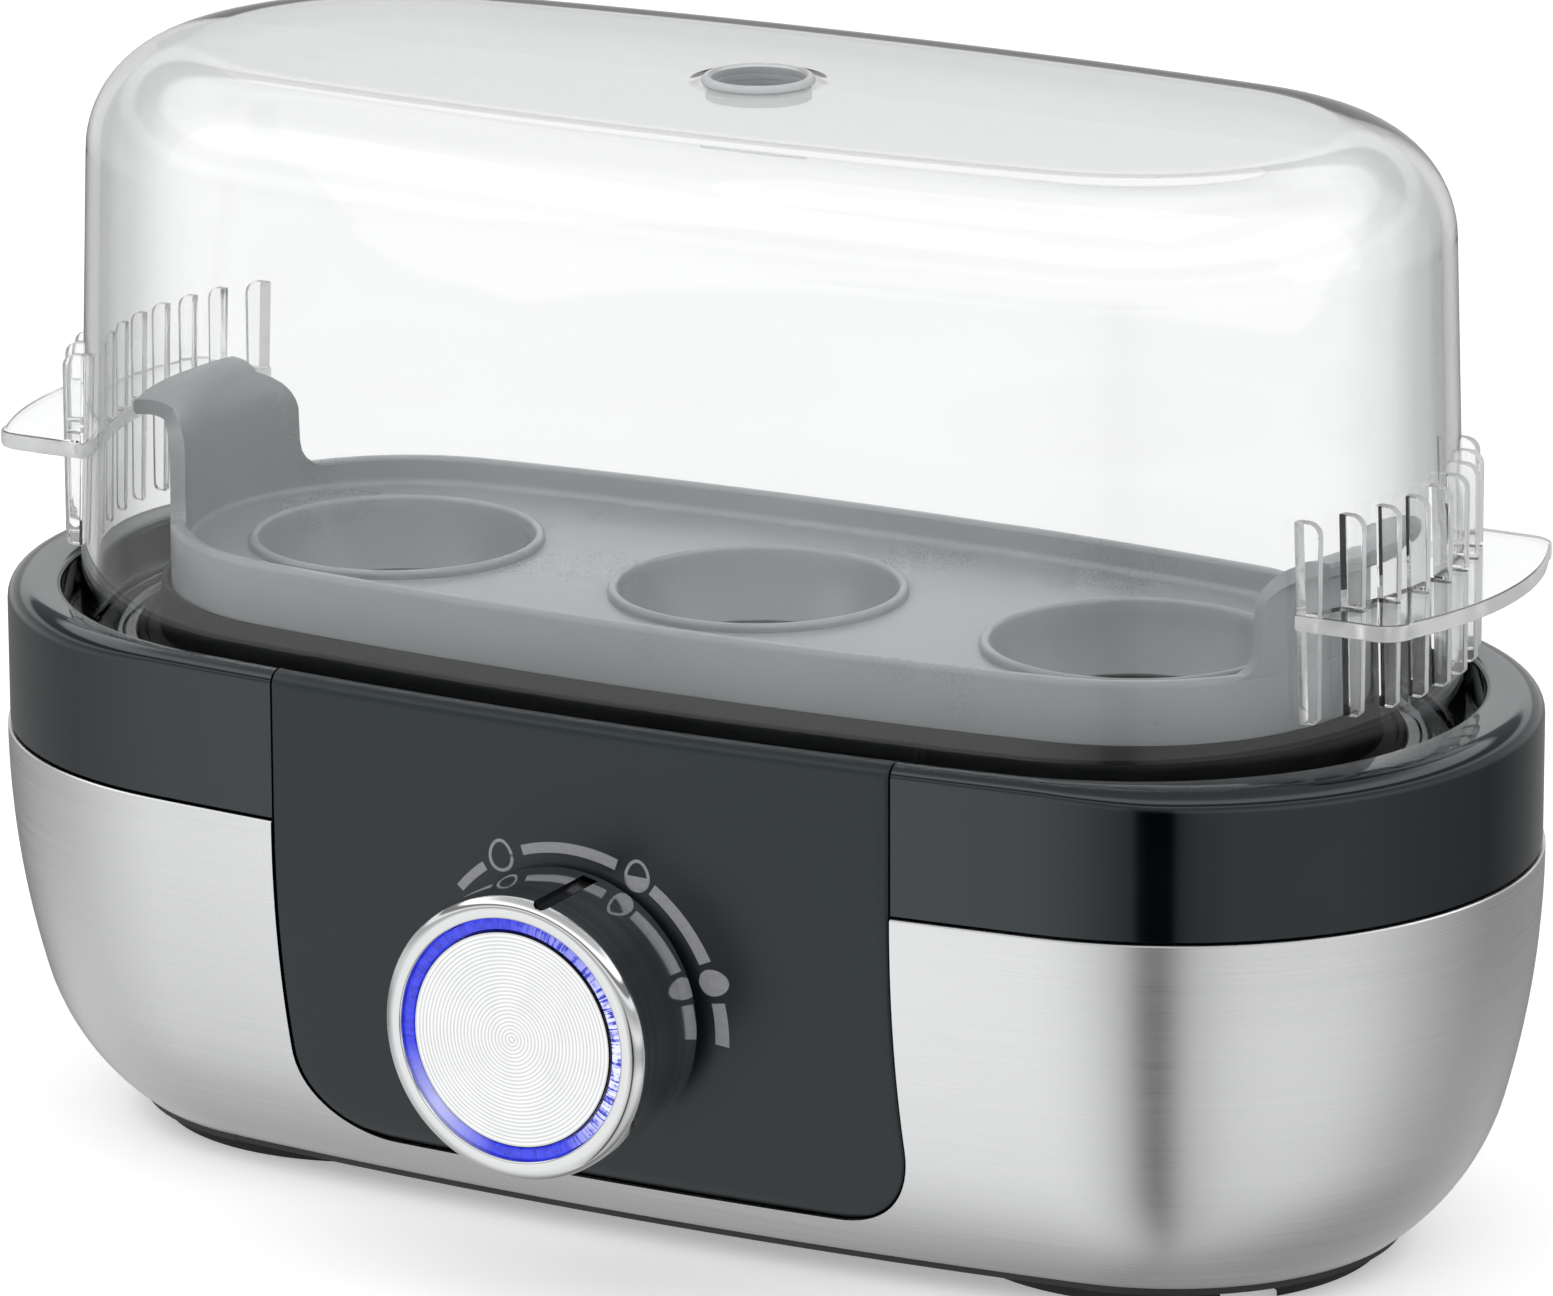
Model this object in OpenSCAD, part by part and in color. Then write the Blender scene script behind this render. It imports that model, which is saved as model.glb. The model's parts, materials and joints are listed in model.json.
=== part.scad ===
// Egg cooker for three eggs: steel tub, black collar, control panel with a lit turning
// knob, heated bowl, lift-out egg tray and a clear lid with finned grip tabs.
// Millimetres. X runs along the length, -Y is the control side, +Z is up, z = 0 is the
// ground under the feet. Every shell follows a four-arc oval plan.

/* [Body] */
// Half length of the steel tub
body_half_l = 96.6; // [90:0.1:104]
// Half width of the steel tub
body_half_w = 45.8; // [43.5:0.1:50]
// How much the long sides bow outwards
body_bow = 2.8; // [1.5:0.1:5]
// Height of the rim above the ground
rim_z = 66.3; // [64.5:0.1:72]
// Height of the joint between steel and black band
joint_z = 48.4; // [46:0.1:50]
// Height of the lower edge of the steel
steel_z = 2.9; // [2.7:0.1:4]
// Sheet thickness of the tub
steel_t = 0.6; // [0.5:0.05:0.9]
// Radius of the upper part of the tub's side profile
side_r = 110; // [90:1:140]
// Depth over which that upper radius runs
side_run = 29.5; // [26:0.5:31]
// Radius of the lower part of the side profile
tuck_r = 30; // [28:0.5:36]

/* [Collar] */
// Wall thickness of the black band
band_t = 2; // [1.6:0.1:2.6]
// Step from the steel face back to the band face
band_step = 0.3; // [0.1:0.05:0.5]
// Rounding of the rim's outer edge
rim_r = 2.6; // [1.5:0.1:3.2]
// Depth of the lid ledge below the rim
ledge_drop = 5.3; // [4.5:0.1:6]
// Thickness of the lid ledge
ledge_t = 2.4; // [2:0.1:3]

/* [Lid] */
// Half length of the lid at its lower edge
lid_half_l = 86.9; // [85:0.1:88.5]
// How much the long sides of the lid bow outwards
lid_bow = 2.6; // [1.5:0.1:4]
// Radius of the lid's end arc at its lower edge
lid_end_r = 38.3; // [37.5:0.1:39.5]
// Height of the lid's flat top
lid_z = 131.5; // [126:0.5:140]
// Wall thickness of the lid
lid_t = 1.8; // [1.5:0.1:2.2]
// Draft angle of the lid wall
lid_draft = 1.8; // [1:0.1:2.5]
// Rounding between the lid wall and its top
shoulder_r = 13; // [10:0.5:16]
// Radius of the steam vent
vent_r = 5.4; // [4:0.1:7]
// Gap between lid wall and rim
lid_gap = 2.1; // [1.6:0.1:2.5]

/* [Grip tabs] */
// Height of the upper face of the tabs
tab_z = 83.4; // [80:0.2:88]
// Thickness of the tabs
tab_t = 2; // [1.6:0.1:2.6]
// Reach of the tabs from the middle of the cooker
tab_reach = 96.2; // [93:0.1:99]
// Half width of the tabs
tab_half_w = 21.6; // [20:0.1:24]
// Number of fins on each end
fin_count = 9; // [5:2:9]
// Distance between fins
fin_pitch = 5.2; // [4.6:0.1:5.2]
// Thickness of a fin
fin_t = 1.2; // [1:0.1:1.6]
// Reach of a fin from the wall
fin_out = 2.2; // [1.8:0.1:3]
// Height of a fin
fin_h = 23.4; // [20:0.2:26]

/* [Egg tray] */
// Radius of the tray's end arc
tray_end_r = 27.4; // [26.5:0.1:28]
// Height of the tray's rim
tray_z = 73.8; // [72:0.2:76]
// Height of the deck that carries the eggs
deck_z = 70.4; // [69:0.1:71]
// Wall thickness of the tray
tray_t = 1.8; // [1.5:0.1:2.2]
// Distance between egg seats
egg_pitch = 48.8; // [47:0.1:50]
// Radius of the opening of an egg seat
seat_r = 16; // [14:0.5:18]
// Height of the handle lips
handle_z = 86.8; // [84:0.2:90]
// Reach of the handle lips from the middle of the cooker
handle_reach = 81; // [79:0.1:82]
// Half width of the handle walls
handle_half_w = 14.5; // [12:0.5:16]

/* [Knob and panel] */
// Height of the knob's axis
knob_z = 32.4; // [31:0.1:33.5]
// Radius of the knob
knob_r = 16.8; // [16:0.1:18]
// Depth of the knob
knob_depth = 13.5; // [11.5:0.1:16]
// Radius of the spun disc
disc_r = 13; // [12:0.1:13.2]
// Radius of the lit ring
ring_r = 14.6; // [14.4:0.1:14.8]
// Half width of the control panel
panel_half_w = 40.15; // [37:0.05:42]
// Height of the panel's lower edge
panel_z = 8.8; // [8:0.1:11]
// Wall thickness of the panel
panel_t = 2.2; // [1.8:0.1:2.4]
// Corner radius of the panel
panel_corner = 11; // [8:0.5:13]
// Radius of the knob shaft
shaft_r = 3; // [2.5:0.05:3.2]

/* [Bowl and heater] */
// Gap between egg tray and bowl wall
bowl_gap = 1.6; // [1.2:0.1:2]
// Height of the bowl's floor
bowl_z = 45; // [44.5:0.1:46]
// Sheet thickness of the bowl
bowl_t = 0.8; // [0.6:0.1:1]
// Radius of the heating tube
tube_r = 3.2; // [2.8:0.1:3.3]

/* [Clearances] */
// Gap where neighbouring parts seat
seat_gap = 0.3; // [0.2:0.05:0.4]
// Radial running clearance of the knob shaft
run_gap = 0.05; // [0.02:0.01:0.08]
// Width of the visible seams
seam = 0.25; // [0.15:0.05:0.4]

/* [Hidden] */

$fn = 72;
arc_fn = 540;
eps = 0.01;

// end-arc centre, end-arc radius and bow of the two oval families
body_end_r = body_half_w - body_bow;
body_a = body_half_l - body_end_r;
inner_a = lid_half_l - lid_end_r;
function oval_c(a, bow) = (a * a - bow * bow) / (2 * bow);
function oval_phi(a, bow) = atan2(a, oval_c(a, bow));

band_r = body_end_r - band_step;
ledge_z = rim_z - ledge_drop;
mouth_r = lid_end_r + lid_gap;
side_turn = asin(side_run / side_r);
tuck_run = joint_z - side_run - steel_z;
tuck_turn = asin(sin(side_turn) + tuck_run / tuck_r);
bowl_r = tray_end_r + bowl_gap;
mouth_in_r = bowl_r + 2;
flange_top_z = ledge_z - ledge_t - 0.6;
flange_r = mouth_r - 2.9;
plate_top_z = steel_z + 1.4;
plate_low_z = steel_z - 1;
panel_r = band_r + 0.2;
pad_y = -(panel_r + body_bow - 0.3);
pad_back_y = pad_y + 2;
knob_back_y = pad_y - 0.7;
knob_front_y = knob_back_y - knob_depth;
board_y = -30.6;
board_t = 1.6;
switch_front_y = pad_back_y + seat_gap;
guide_r = 11.7;
board_rear_y = board_y + board_t;
pointer_deg = 12.6;
rear_y = body_half_w;
y_shift = (-knob_front_y - rear_y) / 2;
lid_low_z = ledge_z + seat_gap;
lid_wall_h = lid_z - shoulder_r * (1 - sin(lid_draft)) - lid_low_z;
lid_top_r = lid_end_r - lid_wall_h * tan(lid_draft);
heater_z = bowl_z - bowl_t - tube_r - 0.05;
heater_r = 17;
// bottom plate inside the lower edge of the steel, its posts near the rim of its round ends
plate_r = body_end_r - side_r + (side_r - tuck_r) * cos(side_turn)
  + (tuck_r - steel_t) * cos(tuck_turn) - 0.2;
boss_r = 4.4;
post_turn = 42;
post_d = plate_r - boss_r - 0.5;
post_x = body_a + post_d * cos(post_turn);
post_y = post_d * sin(post_turn);
standoff_r = 2.7;
// end-arc centre of the heating tube, whose loop clears the standoffs
heater_a = post_x - sqrt(pow(heater_r + tube_r + standoff_r + 0.4, 2) - post_y * post_y);
lug_x = body_a + 36.6;
lug_y = 8;
pole_x = 5.5;

// puts the middle of the overall box on the origin
module place() translate([0, y_shift, 0]) children();

// sweeps a profile drawn as (end radius, height) around a four-arc oval: profiles on the
// long sides are thinner by $g, so that they end inside the end arcs
module oval_ends(a, bow) {
  $g = 0;
  lap = 0.05;
  phi = oval_phi(a, bow) - lap;
  for (s = [0, 1]) rotate([0, 0, 180 * s]) translate([a, 0, 0])
    rotate([0, 0, phi - 90]) rotate_extrude(angle = 180 - 2 * phi, $fn = 120) children();
}
module oval_side(a, bow) {
  $g = 0.05;
  c = oval_c(a, bow);
  phi = oval_phi(a, bow);
  translate([0, -c, 0]) rotate([0, 0, 90 - phi])
    rotate_extrude(angle = 2 * phi, $fn = arc_fn) translate([c + bow, 0]) children();
}
module oval_sweep(a, bow) {
  oval_ends(a, bow) children();
  oval_side(a, bow) children();
  rotate([0, 0, 180]) oval_side(a, bow) children();
}

// filled oval slab of end radius r
module oval_slab(a, bow, r, z0, z1) {
  oval_sweep(a, bow) translate([$g, z0 + $g]) square([r - 2 * $g, z1 - z0 - 2 * $g]);
  translate([-a, -bow - 0.2, z0]) cube([2 * a, 2 * bow + 0.4, z1 - z0]);
}

// profile rectangle and ring sector that follow $g
module bar(x, z, w, h) translate([x + $g, z + $g]) square([w - 2 * $g, h - 2 * $g]);
module arc_bar(x, z, r, t, a0, a1) {
  e = 2 * r;
  intersection() {
    translate([x, z]) difference() {
      circle(r = r - $g, $fn = 240);
      circle(r = r - t + $g, $fn = 240);
    }
    polygon([[x, z], [x + e * cos(a0), z + e * sin(a0)],
      [x + e * cos((a0 + a1) / 2), z + e * sin((a0 + a1) / 2)],
      [x + e * cos(a1), z + e * sin(a1)]]);
  }
}

// box given by its low and high corners
module block(lo, hi) translate(lo) cube(hi - lo);

// rod along Y from y0 to y1
module rod(r, y0, y1) translate([0, y1, 0]) rotate([90, 0, 0]) cylinder(r = r, h = y1 - y0);

// point of the tub side at angle a, depth d under its outer face, and the wall between depths
function side_pt(a, d) = a > -side_turn
  ? [body_end_r - side_r + (side_r - d) * cos(a), joint_z + (side_r - d) * sin(a)]
  : [body_end_r - side_r + (side_r - tuck_r) * cos(side_turn) + (tuck_r - d) * cos(a),
    joint_z - (side_r - tuck_r) * sin(side_turn) + (tuck_r - d) * sin(a)];
module side_wall(out, t) {
  a0 = asin(2 * $g / side_r);
  a1 = tuck_turn - asin(2 * $g / tuck_r);
  turns = [for (i = [0:8]) a0 + (side_turn - a0) * i / 8, for (i = [1:8]) side_turn + (a1 - side_turn) * i / 8];
  polygon(concat([for (a = turns) side_pt(-a, out + $g)],
    [for (i = [16:-1:0]) side_pt(-turns[i], out + t - $g)]));
}

// band and rim profile with a rounded outer edge
module rim_profile(x0, x1, z0) difference() {
  bar(x0, z0, x1 - x0, rim_z - z0);
  translate([x1 - rim_r, rim_z - rim_r]) difference() {
    square([rim_r + 1, rim_r + 1]);
    circle(r = rim_r - $g, $fn = 64);
  }
}

// outline of the panel seen from the front, grown by g
module panel_front(g) {
  w = panel_half_w + g;
  r = panel_corner + g;
  lo = panel_z - g;
  translate([0, -20, 0]) rotate([90, 0, 0]) {
    linear_extrude(60) difference() {
      translate([-w, lo]) square([2 * w, rim_z + 5 - lo]);
      for (s = [-1, 1]) translate([s * (w - r), lo + r]) difference() {
        translate([s > 0 ? 0 : -r - 1, -r - 1]) square([r + 1, r + 1]);
        circle(r = r, $fn = 96);
      }
    }
  }
}

module bottom_plate() place() color("#1c1e1f") {
  difference() {
    union() {
      oval_slab(body_a, body_bow, plate_r, plate_low_z, plate_top_z);
      for (x = [-post_x, post_x], y = [-post_y, post_y])
        translate([x, y, plate_low_z]) cylinder(r = boss_r, h = 5.4);
    }
    for (x = [-post_x, post_x], y = [-post_y, post_y]) translate([x, y, 0]) {
      cylinder(r = 1.8, h = 20);
      cylinder(r = 3.4, h = plate_low_z + 2.4);
    }
    for (i = [-5:5]) translate([i * 4, 0, plate_low_z]) block([-0.9, -8, -1], [0.9, 8, 9]);
  }
}

module feet() place() color("#141414") for (s = [0, 1]) rotate([0, 0, 180 * s]) difference() {
  translate([body_a, 0, 0]) difference() {
    cylinder(r = plate_r - 2.3, h = plate_low_z, $fn = 120);
    translate([0, 0, -1]) cylinder(r = plate_r - 12.3, h = plate_low_z + 2, $fn = 96);
  }
  block([0, -60, -1], [body_a - 11.1, 60, 9]);
  for (y = [-post_y, post_y]) translate([post_x, y, -1]) cylinder(r = 4.2, h = 9);
}

module base_screws() place() color("#b8bcbf")
  for (x = [-post_x, post_x], y = [-post_y, post_y]) translate([x, y, 0]) {
    translate([0, 0, plate_low_z + 0.6]) difference() {
      cylinder(r = 2.9, h = 1.7);
      translate([0, 0, -1]) block([-0.4, -1.9, 0], [0.4, 1.9, 1.8]);
      translate([0, 0, -1]) block([-1.9, -0.4, 0], [1.9, 0.4, 1.8]);
    }
    translate([0, 0, plate_low_z + 2.3]) cylinder(r = 1.5, h = 10);
  }

module steel_shell() place() color("#b9bdc0") difference() {
  oval_sweep(body_a, body_bow) side_wall(0, steel_t);
  panel_front(seam);
  translate([0, 0, 20]) rod(7.2, 20, 60);
}

module collar() place() color("#22262a") difference() {
  union() {
    oval_sweep(body_a, body_bow) {
      rim_profile(band_r - band_t, band_r, joint_z + seam);
      difference() {
        bar(24, ledge_z - ledge_t, band_r - 25, ledge_drop + ledge_t);
        translate([band_r - band_t / 2, ledge_z]) square([9, 9]);
      }
      bar(body_end_r - steel_t - 1.7, joint_z - 5, 1.5, 6);
    }
    for (x = [-lug_x, lug_x], y = [-lug_y, lug_y]) translate([x, y, ledge_z - ledge_t - 0.3])
      cylinder(r = 3.2, h = ledge_drop + ledge_t - 0.7);
  }
  oval_slab(inner_a, lid_bow, mouth_in_r, ledge_z - 9, ledge_z + 1);
  oval_slab(inner_a, lid_bow, mouth_r, ledge_z, rim_z + 1);
  block([-panel_half_w - seam, -70, ledge_z], [panel_half_w + seam, -30, rim_z + 2]);
  difference() {
    block([-panel_half_w - seam, -70, joint_z - 12], [panel_half_w + seam, -30, ledge_z + 1]);
    oval_slab(body_a, body_bow, panel_r - panel_t - seat_gap, joint_z - 13, ledge_z + 2);
  }
  for (x = [-lug_x, lug_x], y = [-lug_y, lug_y]) translate([x, y, ledge_z - ledge_t - 1])
    cylinder(r = 1.25, h = ledge_t + 0.8);
}

module front_panel() place() color("#303437") difference() {
  union() {
    intersection() {
      rotate([0, 0, 180]) oval_side(body_a, body_bow) {
        side_wall(body_end_r - panel_r, panel_t);
        bar(panel_r - panel_t + 0.3, joint_z - 2, panel_t - 0.6, 4);
        rim_profile(panel_r - panel_t, panel_r, joint_z - 0.02);
      }
      panel_front(0);
    }
    difference() {
      intersection() {
        rotate([0, 0, 180]) oval_side(body_a, body_bow)
          rim_profile(panel_r - 5, panel_r, ledge_z + seat_gap);
        block([-panel_half_w, -70, 0], [panel_half_w, 0, rim_z + 1]);
      }
      oval_slab(inner_a, lid_bow, mouth_r, ledge_z - 1, rim_z + 1);
    }
    translate([0, 0, knob_z]) {
      rod(15.2, pad_y, pad_back_y);
      difference() {
        rod(15.2, pad_y, pad_y + 7.5);
        rod(13.4, pad_y - 1, pad_y + 9);
      }
    }
    for (x = [-31, 31], z = [39, 20]) translate([x, 0, z])
      rod(2.6, z > 30 ? -42.6 : -37.6, board_y - 0.3);
  }
  translate([0, 0, knob_z]) {
    rod(5, -60, -20);
    rod(8.5 + seat_gap, pad_back_y, -20);
    for (d = [60, 180, 300]) rotate([0, d, 0]) translate([0, 0, guide_r]) rod(2.2, -60, -20);
  }
  for (x = [-31, 31], z = [39, 20]) translate([x, 0, z]) rod(1.05, board_y - 6, board_y + 1);
}

module bowl() place() color("#3a3d40") difference() {
  r = bowl_r + bowl_t;
  f = bowl_gap + bowl_t;
  lo = bowl_z - bowl_t;
  tab = lug_x - inner_a - flange_r + 3;
  union() {
    oval_sweep(inner_a, lid_bow) {
      bar(bowl_r, flange_top_z - bowl_t, flange_r - bowl_r, bowl_t);
      bar(bowl_r, lo + f - 2 * $g, bowl_t, flange_top_z - lo - f + 2 * $g);
      arc_bar(r - f, lo + f, f, bowl_t, 0, -90);
      bar(r - f - 1, lo, 1 + 2 * $g, bowl_t);
    }
    oval_slab(inner_a, lid_bow, r - f - 0.5, lo, bowl_z);
    for (s = [-1, 1], y = [-lug_y, lug_y]) translate([s * lug_x, y, flange_top_z - bowl_t]) {
      cylinder(r = 2.7, h = bowl_t);
      block([s > 0 ? -tab : 0, -2.7, 0], [s > 0 ? 0 : tab, 2.7, bowl_t]);
    }
  }
  for (x = [-lug_x, lug_x], y = [-lug_y, lug_y])
    translate([x, y, flange_top_z - 5]) cylinder(r = 1.7, h = 9);
}

module bowl_seal() place() color("#a9453a") oval_sweep(inner_a, lid_bow)
  bar(mouth_in_r + 1, flange_top_z, 3, ledge_z - ledge_t - flange_top_z);

module bowl_screws() place() color("#b8bcbf")
  for (x = [-lug_x, lug_x], y = [-lug_y, lug_y]) translate([x, y, flange_top_z - bowl_t]) {
    translate([0, 0, -1.6]) cylinder(r = 2.6, h = 1.6);
    translate([0, 0, -0.1]) cylinder(r = 1.2, h = ledge_z - 0.4 - flange_top_z + bowl_t + 0.1);
  }

module standoffs() place() color("#b08d3e")
  for (x = [-post_x, post_x], y = [-post_y, post_y]) translate([x, y, 0]) difference() {
    translate([0, 0, plate_low_z + 5.4])
      cylinder(r = standoff_r, h = bowl_z - bowl_t - plate_low_z - 5.4);
    translate([0, 0, plate_low_z]) cylinder(r = 1.52, h = 14);
  }

module heater_tube() place() color("#8d8a84") {
  difference() {
    oval_sweep(heater_a, lid_bow) translate([heater_r, heater_z]) circle(r = tube_r - $g, $fn = 40);
    block([-14, 0, 0], [14, 60, 90]);
  }
  for (s = [-1, 1]) translate([s * 14, heater_r + lid_bow - 0.2, heater_z])
    rotate([0, 90 * s, 0]) mirror([0, 0, 1]) cylinder(r = 2.2, h = 6);
}

module heater_tags() place() color("#c9b06a") for (s = [-1, 1])
  translate([s * pole_x, heater_r + lid_bow - 0.2, heater_z])
    block([-2.3, -0.4, -3.1], [2.3, 0.4, 3.1]);

module thermostat() place() color("#20242a") translate([0, 0, bowl_z - bowl_t]) {
  translate([0, 0, -7.6]) cylinder(r = 8, h = 7.6);
  for (s = [-1, 1]) translate([s * 9.5, 0, -5.6]) block([-4, -3, -0.4], [4, 3, 0.4]);
}

module thermostat_bracket() place() color("#9aa0a3") translate([0, 0, bowl_z - bowl_t]) {
  difference() {
    block([-5, -14, -8.6], [5, 14, -7.6]);
    translate([0, 0, -9]) cylinder(r = 2, h = 4);
  }
  for (s = [-1, 1]) translate([0, s * 13.5, 0]) block([-5, -0.5, -8.6], [5, 0.5, 0]);
}

module thermal_fuse() place() color("#d8d2c4")
  translate([24, 4, bowl_z - bowl_t - 2.3]) {
    rotate([0, 90, 0]) cylinder(r = 2.2, h = 14);
    translate([-5, 0, 0]) rotate([0, 90, 0]) cylinder(r = 0.6, h = 24);
  }

module control_board() place() color("#2f6b43") difference() {
  block([-35, board_y, 12.6], [35, board_rear_y, 42.4]);
  for (x = [-31, 31], z = [39, 20]) translate([x, 0, z]) rod(1.4, board_y - 1, board_rear_y + 1);
}

module board_screws() place() color("#b8bcbf")
  for (x = [-31, 31], z = [39, 20]) translate([x, 0, z]) {
    rod(2.3, board_rear_y, board_rear_y + 1.6);
    rod(1, board_y - 5, board_rear_y + 0.1);
  }

module rotary_switch() place() color("#3c4a63") translate([0, 0, knob_z]) difference() {
  union() {
    rod(8.5, switch_front_y, board_y - seat_gap / 2);
    rod(4.7, pad_y - 3.4, switch_front_y + 1);
  }
  rod(shaft_r + run_gap, -70, -36);
}

module switch_nut() place() color("#b9bcbe") translate([0, pad_y, knob_z]) rotate([90, 0, 0])
  difference() {
    cylinder(r = 6.35, h = 2.2, $fn = 6);
    translate([0, 0, -1]) cylinder(r = 4.75, h = 5);
  }

module light_guide() place() color("#e6ecf5") translate([0, 0, knob_z]) {
  difference() {
    rod(13.8, pad_y - 2.6, pad_y - 0.15);
    rod(9.5, pad_y - 4, pad_y + 1);
  }
  for (d = [60, 180, 300]) rotate([0, d, 0]) translate([0, 0, guide_r])
    rod(2, pad_y - 1, board_y - 2.2);
}

module board_leds() place() color("#dfe7ff") translate([0, 0, knob_z])
  for (d = [60, 180, 300]) rotate([0, d, 0]) translate([0, 0, guide_r]) {
    rod(1.5, board_y - 1.9, board_y - 0.4);
    rotate([0, -d, 0]) block([-1.8, board_y - 0.6, -1.8], [1.8, board_y, 1.8]);
  }

module buzzer() place() color("#17181a") translate([-22, board_rear_y, 22]) rotate([-90, 0, 0])
  difference() {
    cylinder(r = 6, h = 6.4);
    translate([0, 0, 3]) cylinder(r = 1, h = 9);
  }

module relay() place() color("#24487e") block([4, board_rear_y, 15], [19, board_rear_y + 7, 27]);

module capacitor() place() color("#20242c") translate([26, board_rear_y, 30]) rotate([-90, 0, 0])
  difference() {
    cylinder(r = 4, h = 5.6);
    translate([0, 0, 5.2]) block([-3, -0.3, 0], [3, 0.3, 3]);
  }

module terminal_block() place() color("#e7e4da") difference() {
  block([-pole_x - 5, 2, plate_top_z], [pole_x + 5, 13, plate_top_z + 11]);
  for (x = [-pole_x, pole_x]) translate([x, 7.5, plate_top_z]) {
    translate([0, 0, 5]) cylinder(r = 2.6, h = 20);
    translate([0, 8, 4]) rod(1.7, -20, 20);
  }
}

module terminal_screws() place() color("#c2a14f") for (x = [-pole_x, pole_x])
  translate([x, 7.5, plate_top_z + 6]) difference() {
    cylinder(r = 2.3, h = 4.4);
    block([-0.4, -3, 3.6], [0.4, 3, 9]);
  }

module heater_leads() place() color("#a5262a") for (s = [-1, 1]) {
  x = s * pole_x;
  y = heater_r + lid_bow - 0.2;
  lo = plate_top_z + 4;
  translate([x, y, lo]) sphere(r = 1.3);
  translate([x, y, lo]) cylinder(r = 1.3, h = heater_z - 3.4 - lo);
  translate([x, 0, lo]) rod(1.3, 9, y);
}

module cord_inlet() place() color("#1a1b1d") translate([0, 0, 20]) difference() {
  rod(7, 33.5, 43.6);
  rod(3.4, 30, 50);
}

module switch_shaft() place() color("#c6c9cb") translate([0, 0, knob_z]) difference() {
  rod(shaft_r, knob_front_y + 4.4, -36.4);
  rotate([0, pointer_deg, 0]) block([-9, knob_front_y, shaft_r * 0.55], [9, knob_back_y - 3.4, 9]);
}

module knob_core() place() color("#dcdfe2") translate([0, 0, knob_z]) difference() {
  union() {
    rod(disc_r, knob_front_y + 2.6, knob_front_y + 4.1);
    rod(5.6, knob_front_y + 3, knob_back_y - 3.3);
  }
  difference() {
    rod(shaft_r + run_gap, knob_front_y + 4.1, knob_back_y);
    rotate([0, pointer_deg, 0])
      block([-9, knob_front_y, shaft_r * 0.55 + run_gap], [9, knob_back_y, 9]);
  }
}

module knob_sleeve() place() color("#cfd3d6") translate([0, 0, knob_z]) difference() {
  translate([0, knob_back_y, 0]) rotate([90, 0, 0]) rotate_extrude($fn = 144) difference() {
    translate([ring_r + 0.15, 0]) square([knob_r - ring_r - 0.15, knob_depth]);
    translate([knob_r - 1.6, knob_depth - 1.6]) difference() {
      square([2.6, 2.6]);
      circle(r = 1.6, $fn = 48);
    }
  }
  rotate([0, pointer_deg, 0]) block([-1.1, knob_front_y - 1, knob_r - 1], [1.1, knob_back_y - 1.5, 30]);
}

module pointer_inlay() place() color("#0e0f10") translate([0, 0, knob_z]) intersection() {
  rotate([0, pointer_deg, 0])
    block([-1, knob_front_y + 0.9, knob_r - 0.95], [1, knob_back_y - 1.6, 30]);
  rotate([90, 0, 0]) cylinder(r = knob_r - 0.1, h = 80, $fn = 360);
}

module light_ring() place() color("#4a58ff") translate([0, 0, knob_z]) difference() {
  rod(ring_r, knob_front_y + 0.5, knob_front_y + 9.5);
  rod(disc_r + 0.15, knob_front_y - 1, knob_front_y + 12);
}

module knob_disc() place() color("#d6d9dc") translate([0, knob_front_y + 2.5, knob_z])
  rotate([90, 0, 0]) rotate_extrude($fn = 144) difference() {
    square([disc_r, 2.3]);
    translate([disc_r - 0.4, 1.9]) polygon([[0, 0.4], [0.4, 0], [1, 0], [1, 1], [0, 1]]);
  }

// one end handle: wall that curls outwards into a lip
module tray_handle() intersection() {
  bend = 3;
  out = handle_reach - inner_a;
  $g = 0;
  w = 0.1;
  t = tray_t - 2 * w;
  r = tray_end_r - w;
  f = 3.6;
  corner = 6;
  low = tray_z - 0.6;
  half = concat([[handle_half_w + f, tray_z - 6]],
    [for (a = [0:15:90]) [handle_half_w + f * (1 - sin(a)), low + f * (1 - cos(a))]],
    [for (a = [0:15:90]) [handle_half_w - corner * (1 - cos(a)), handle_z - corner * (1 - sin(a))]]);
  translate([inner_a, 0, 0]) rotate([0, 0, -45]) rotate_extrude(angle = 90, $fn = 120) {
    bar(r - t, tray_z - 4, t, handle_z - tray_z + 4 - t - bend);
    arc_bar(r + bend, handle_z - t - bend, bend + t, t, 90, 180);
    bar(r + bend, handle_z - t, out - r - bend, t);
  }
  rotate([90, 0, 90]) linear_extrude(100) polygon(concat(half,
    [for (i = [len(half) - 1:-1:0]) [-half[i][0], half[i][1]]]));
}

module egg_tray() place() color("#26292b") difference() {
  union() {
    difference() {
      union() {
        oval_sweep(inner_a, lid_bow) {
          bar(tray_end_r - tray_t, bowl_z + seat_gap, tray_t, tray_z - bowl_z - seat_gap);
          bar(tray_end_r - tray_t - 1, deck_z - tray_t, 2, tray_t);
        }
        oval_slab(inner_a, lid_bow, tray_end_r - tray_t - 0.5, deck_z - tray_t, deck_z);
      }
      for (x = [-45, 0, 45]) translate([x, 0, bowl_z]) block([-7, -60, -1], [7, 60, 7]);
    }
    for (i = [-1:1]) translate([i * egg_pitch, 0, 0]) rotate_extrude($fn = 96)
      polygon([[seat_r, deck_z + 1], [seat_r + 1.6, deck_z + 1], [seat_r + 1.6, deck_z - 3],
        [seat_r - 1.2, deck_z - 7.5], [seat_r - 2.8, deck_z - 7.5], [seat_r - 0.1, deck_z - 3]]);
    for (s = [0, 1]) rotate([0, 0, 180 * s]) tray_handle();
  }
  for (i = [-1:1]) translate([i * egg_pitch, 0, deck_z - 4]) cylinder(r = seat_r, h = 9, $fn = 96);
}

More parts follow.
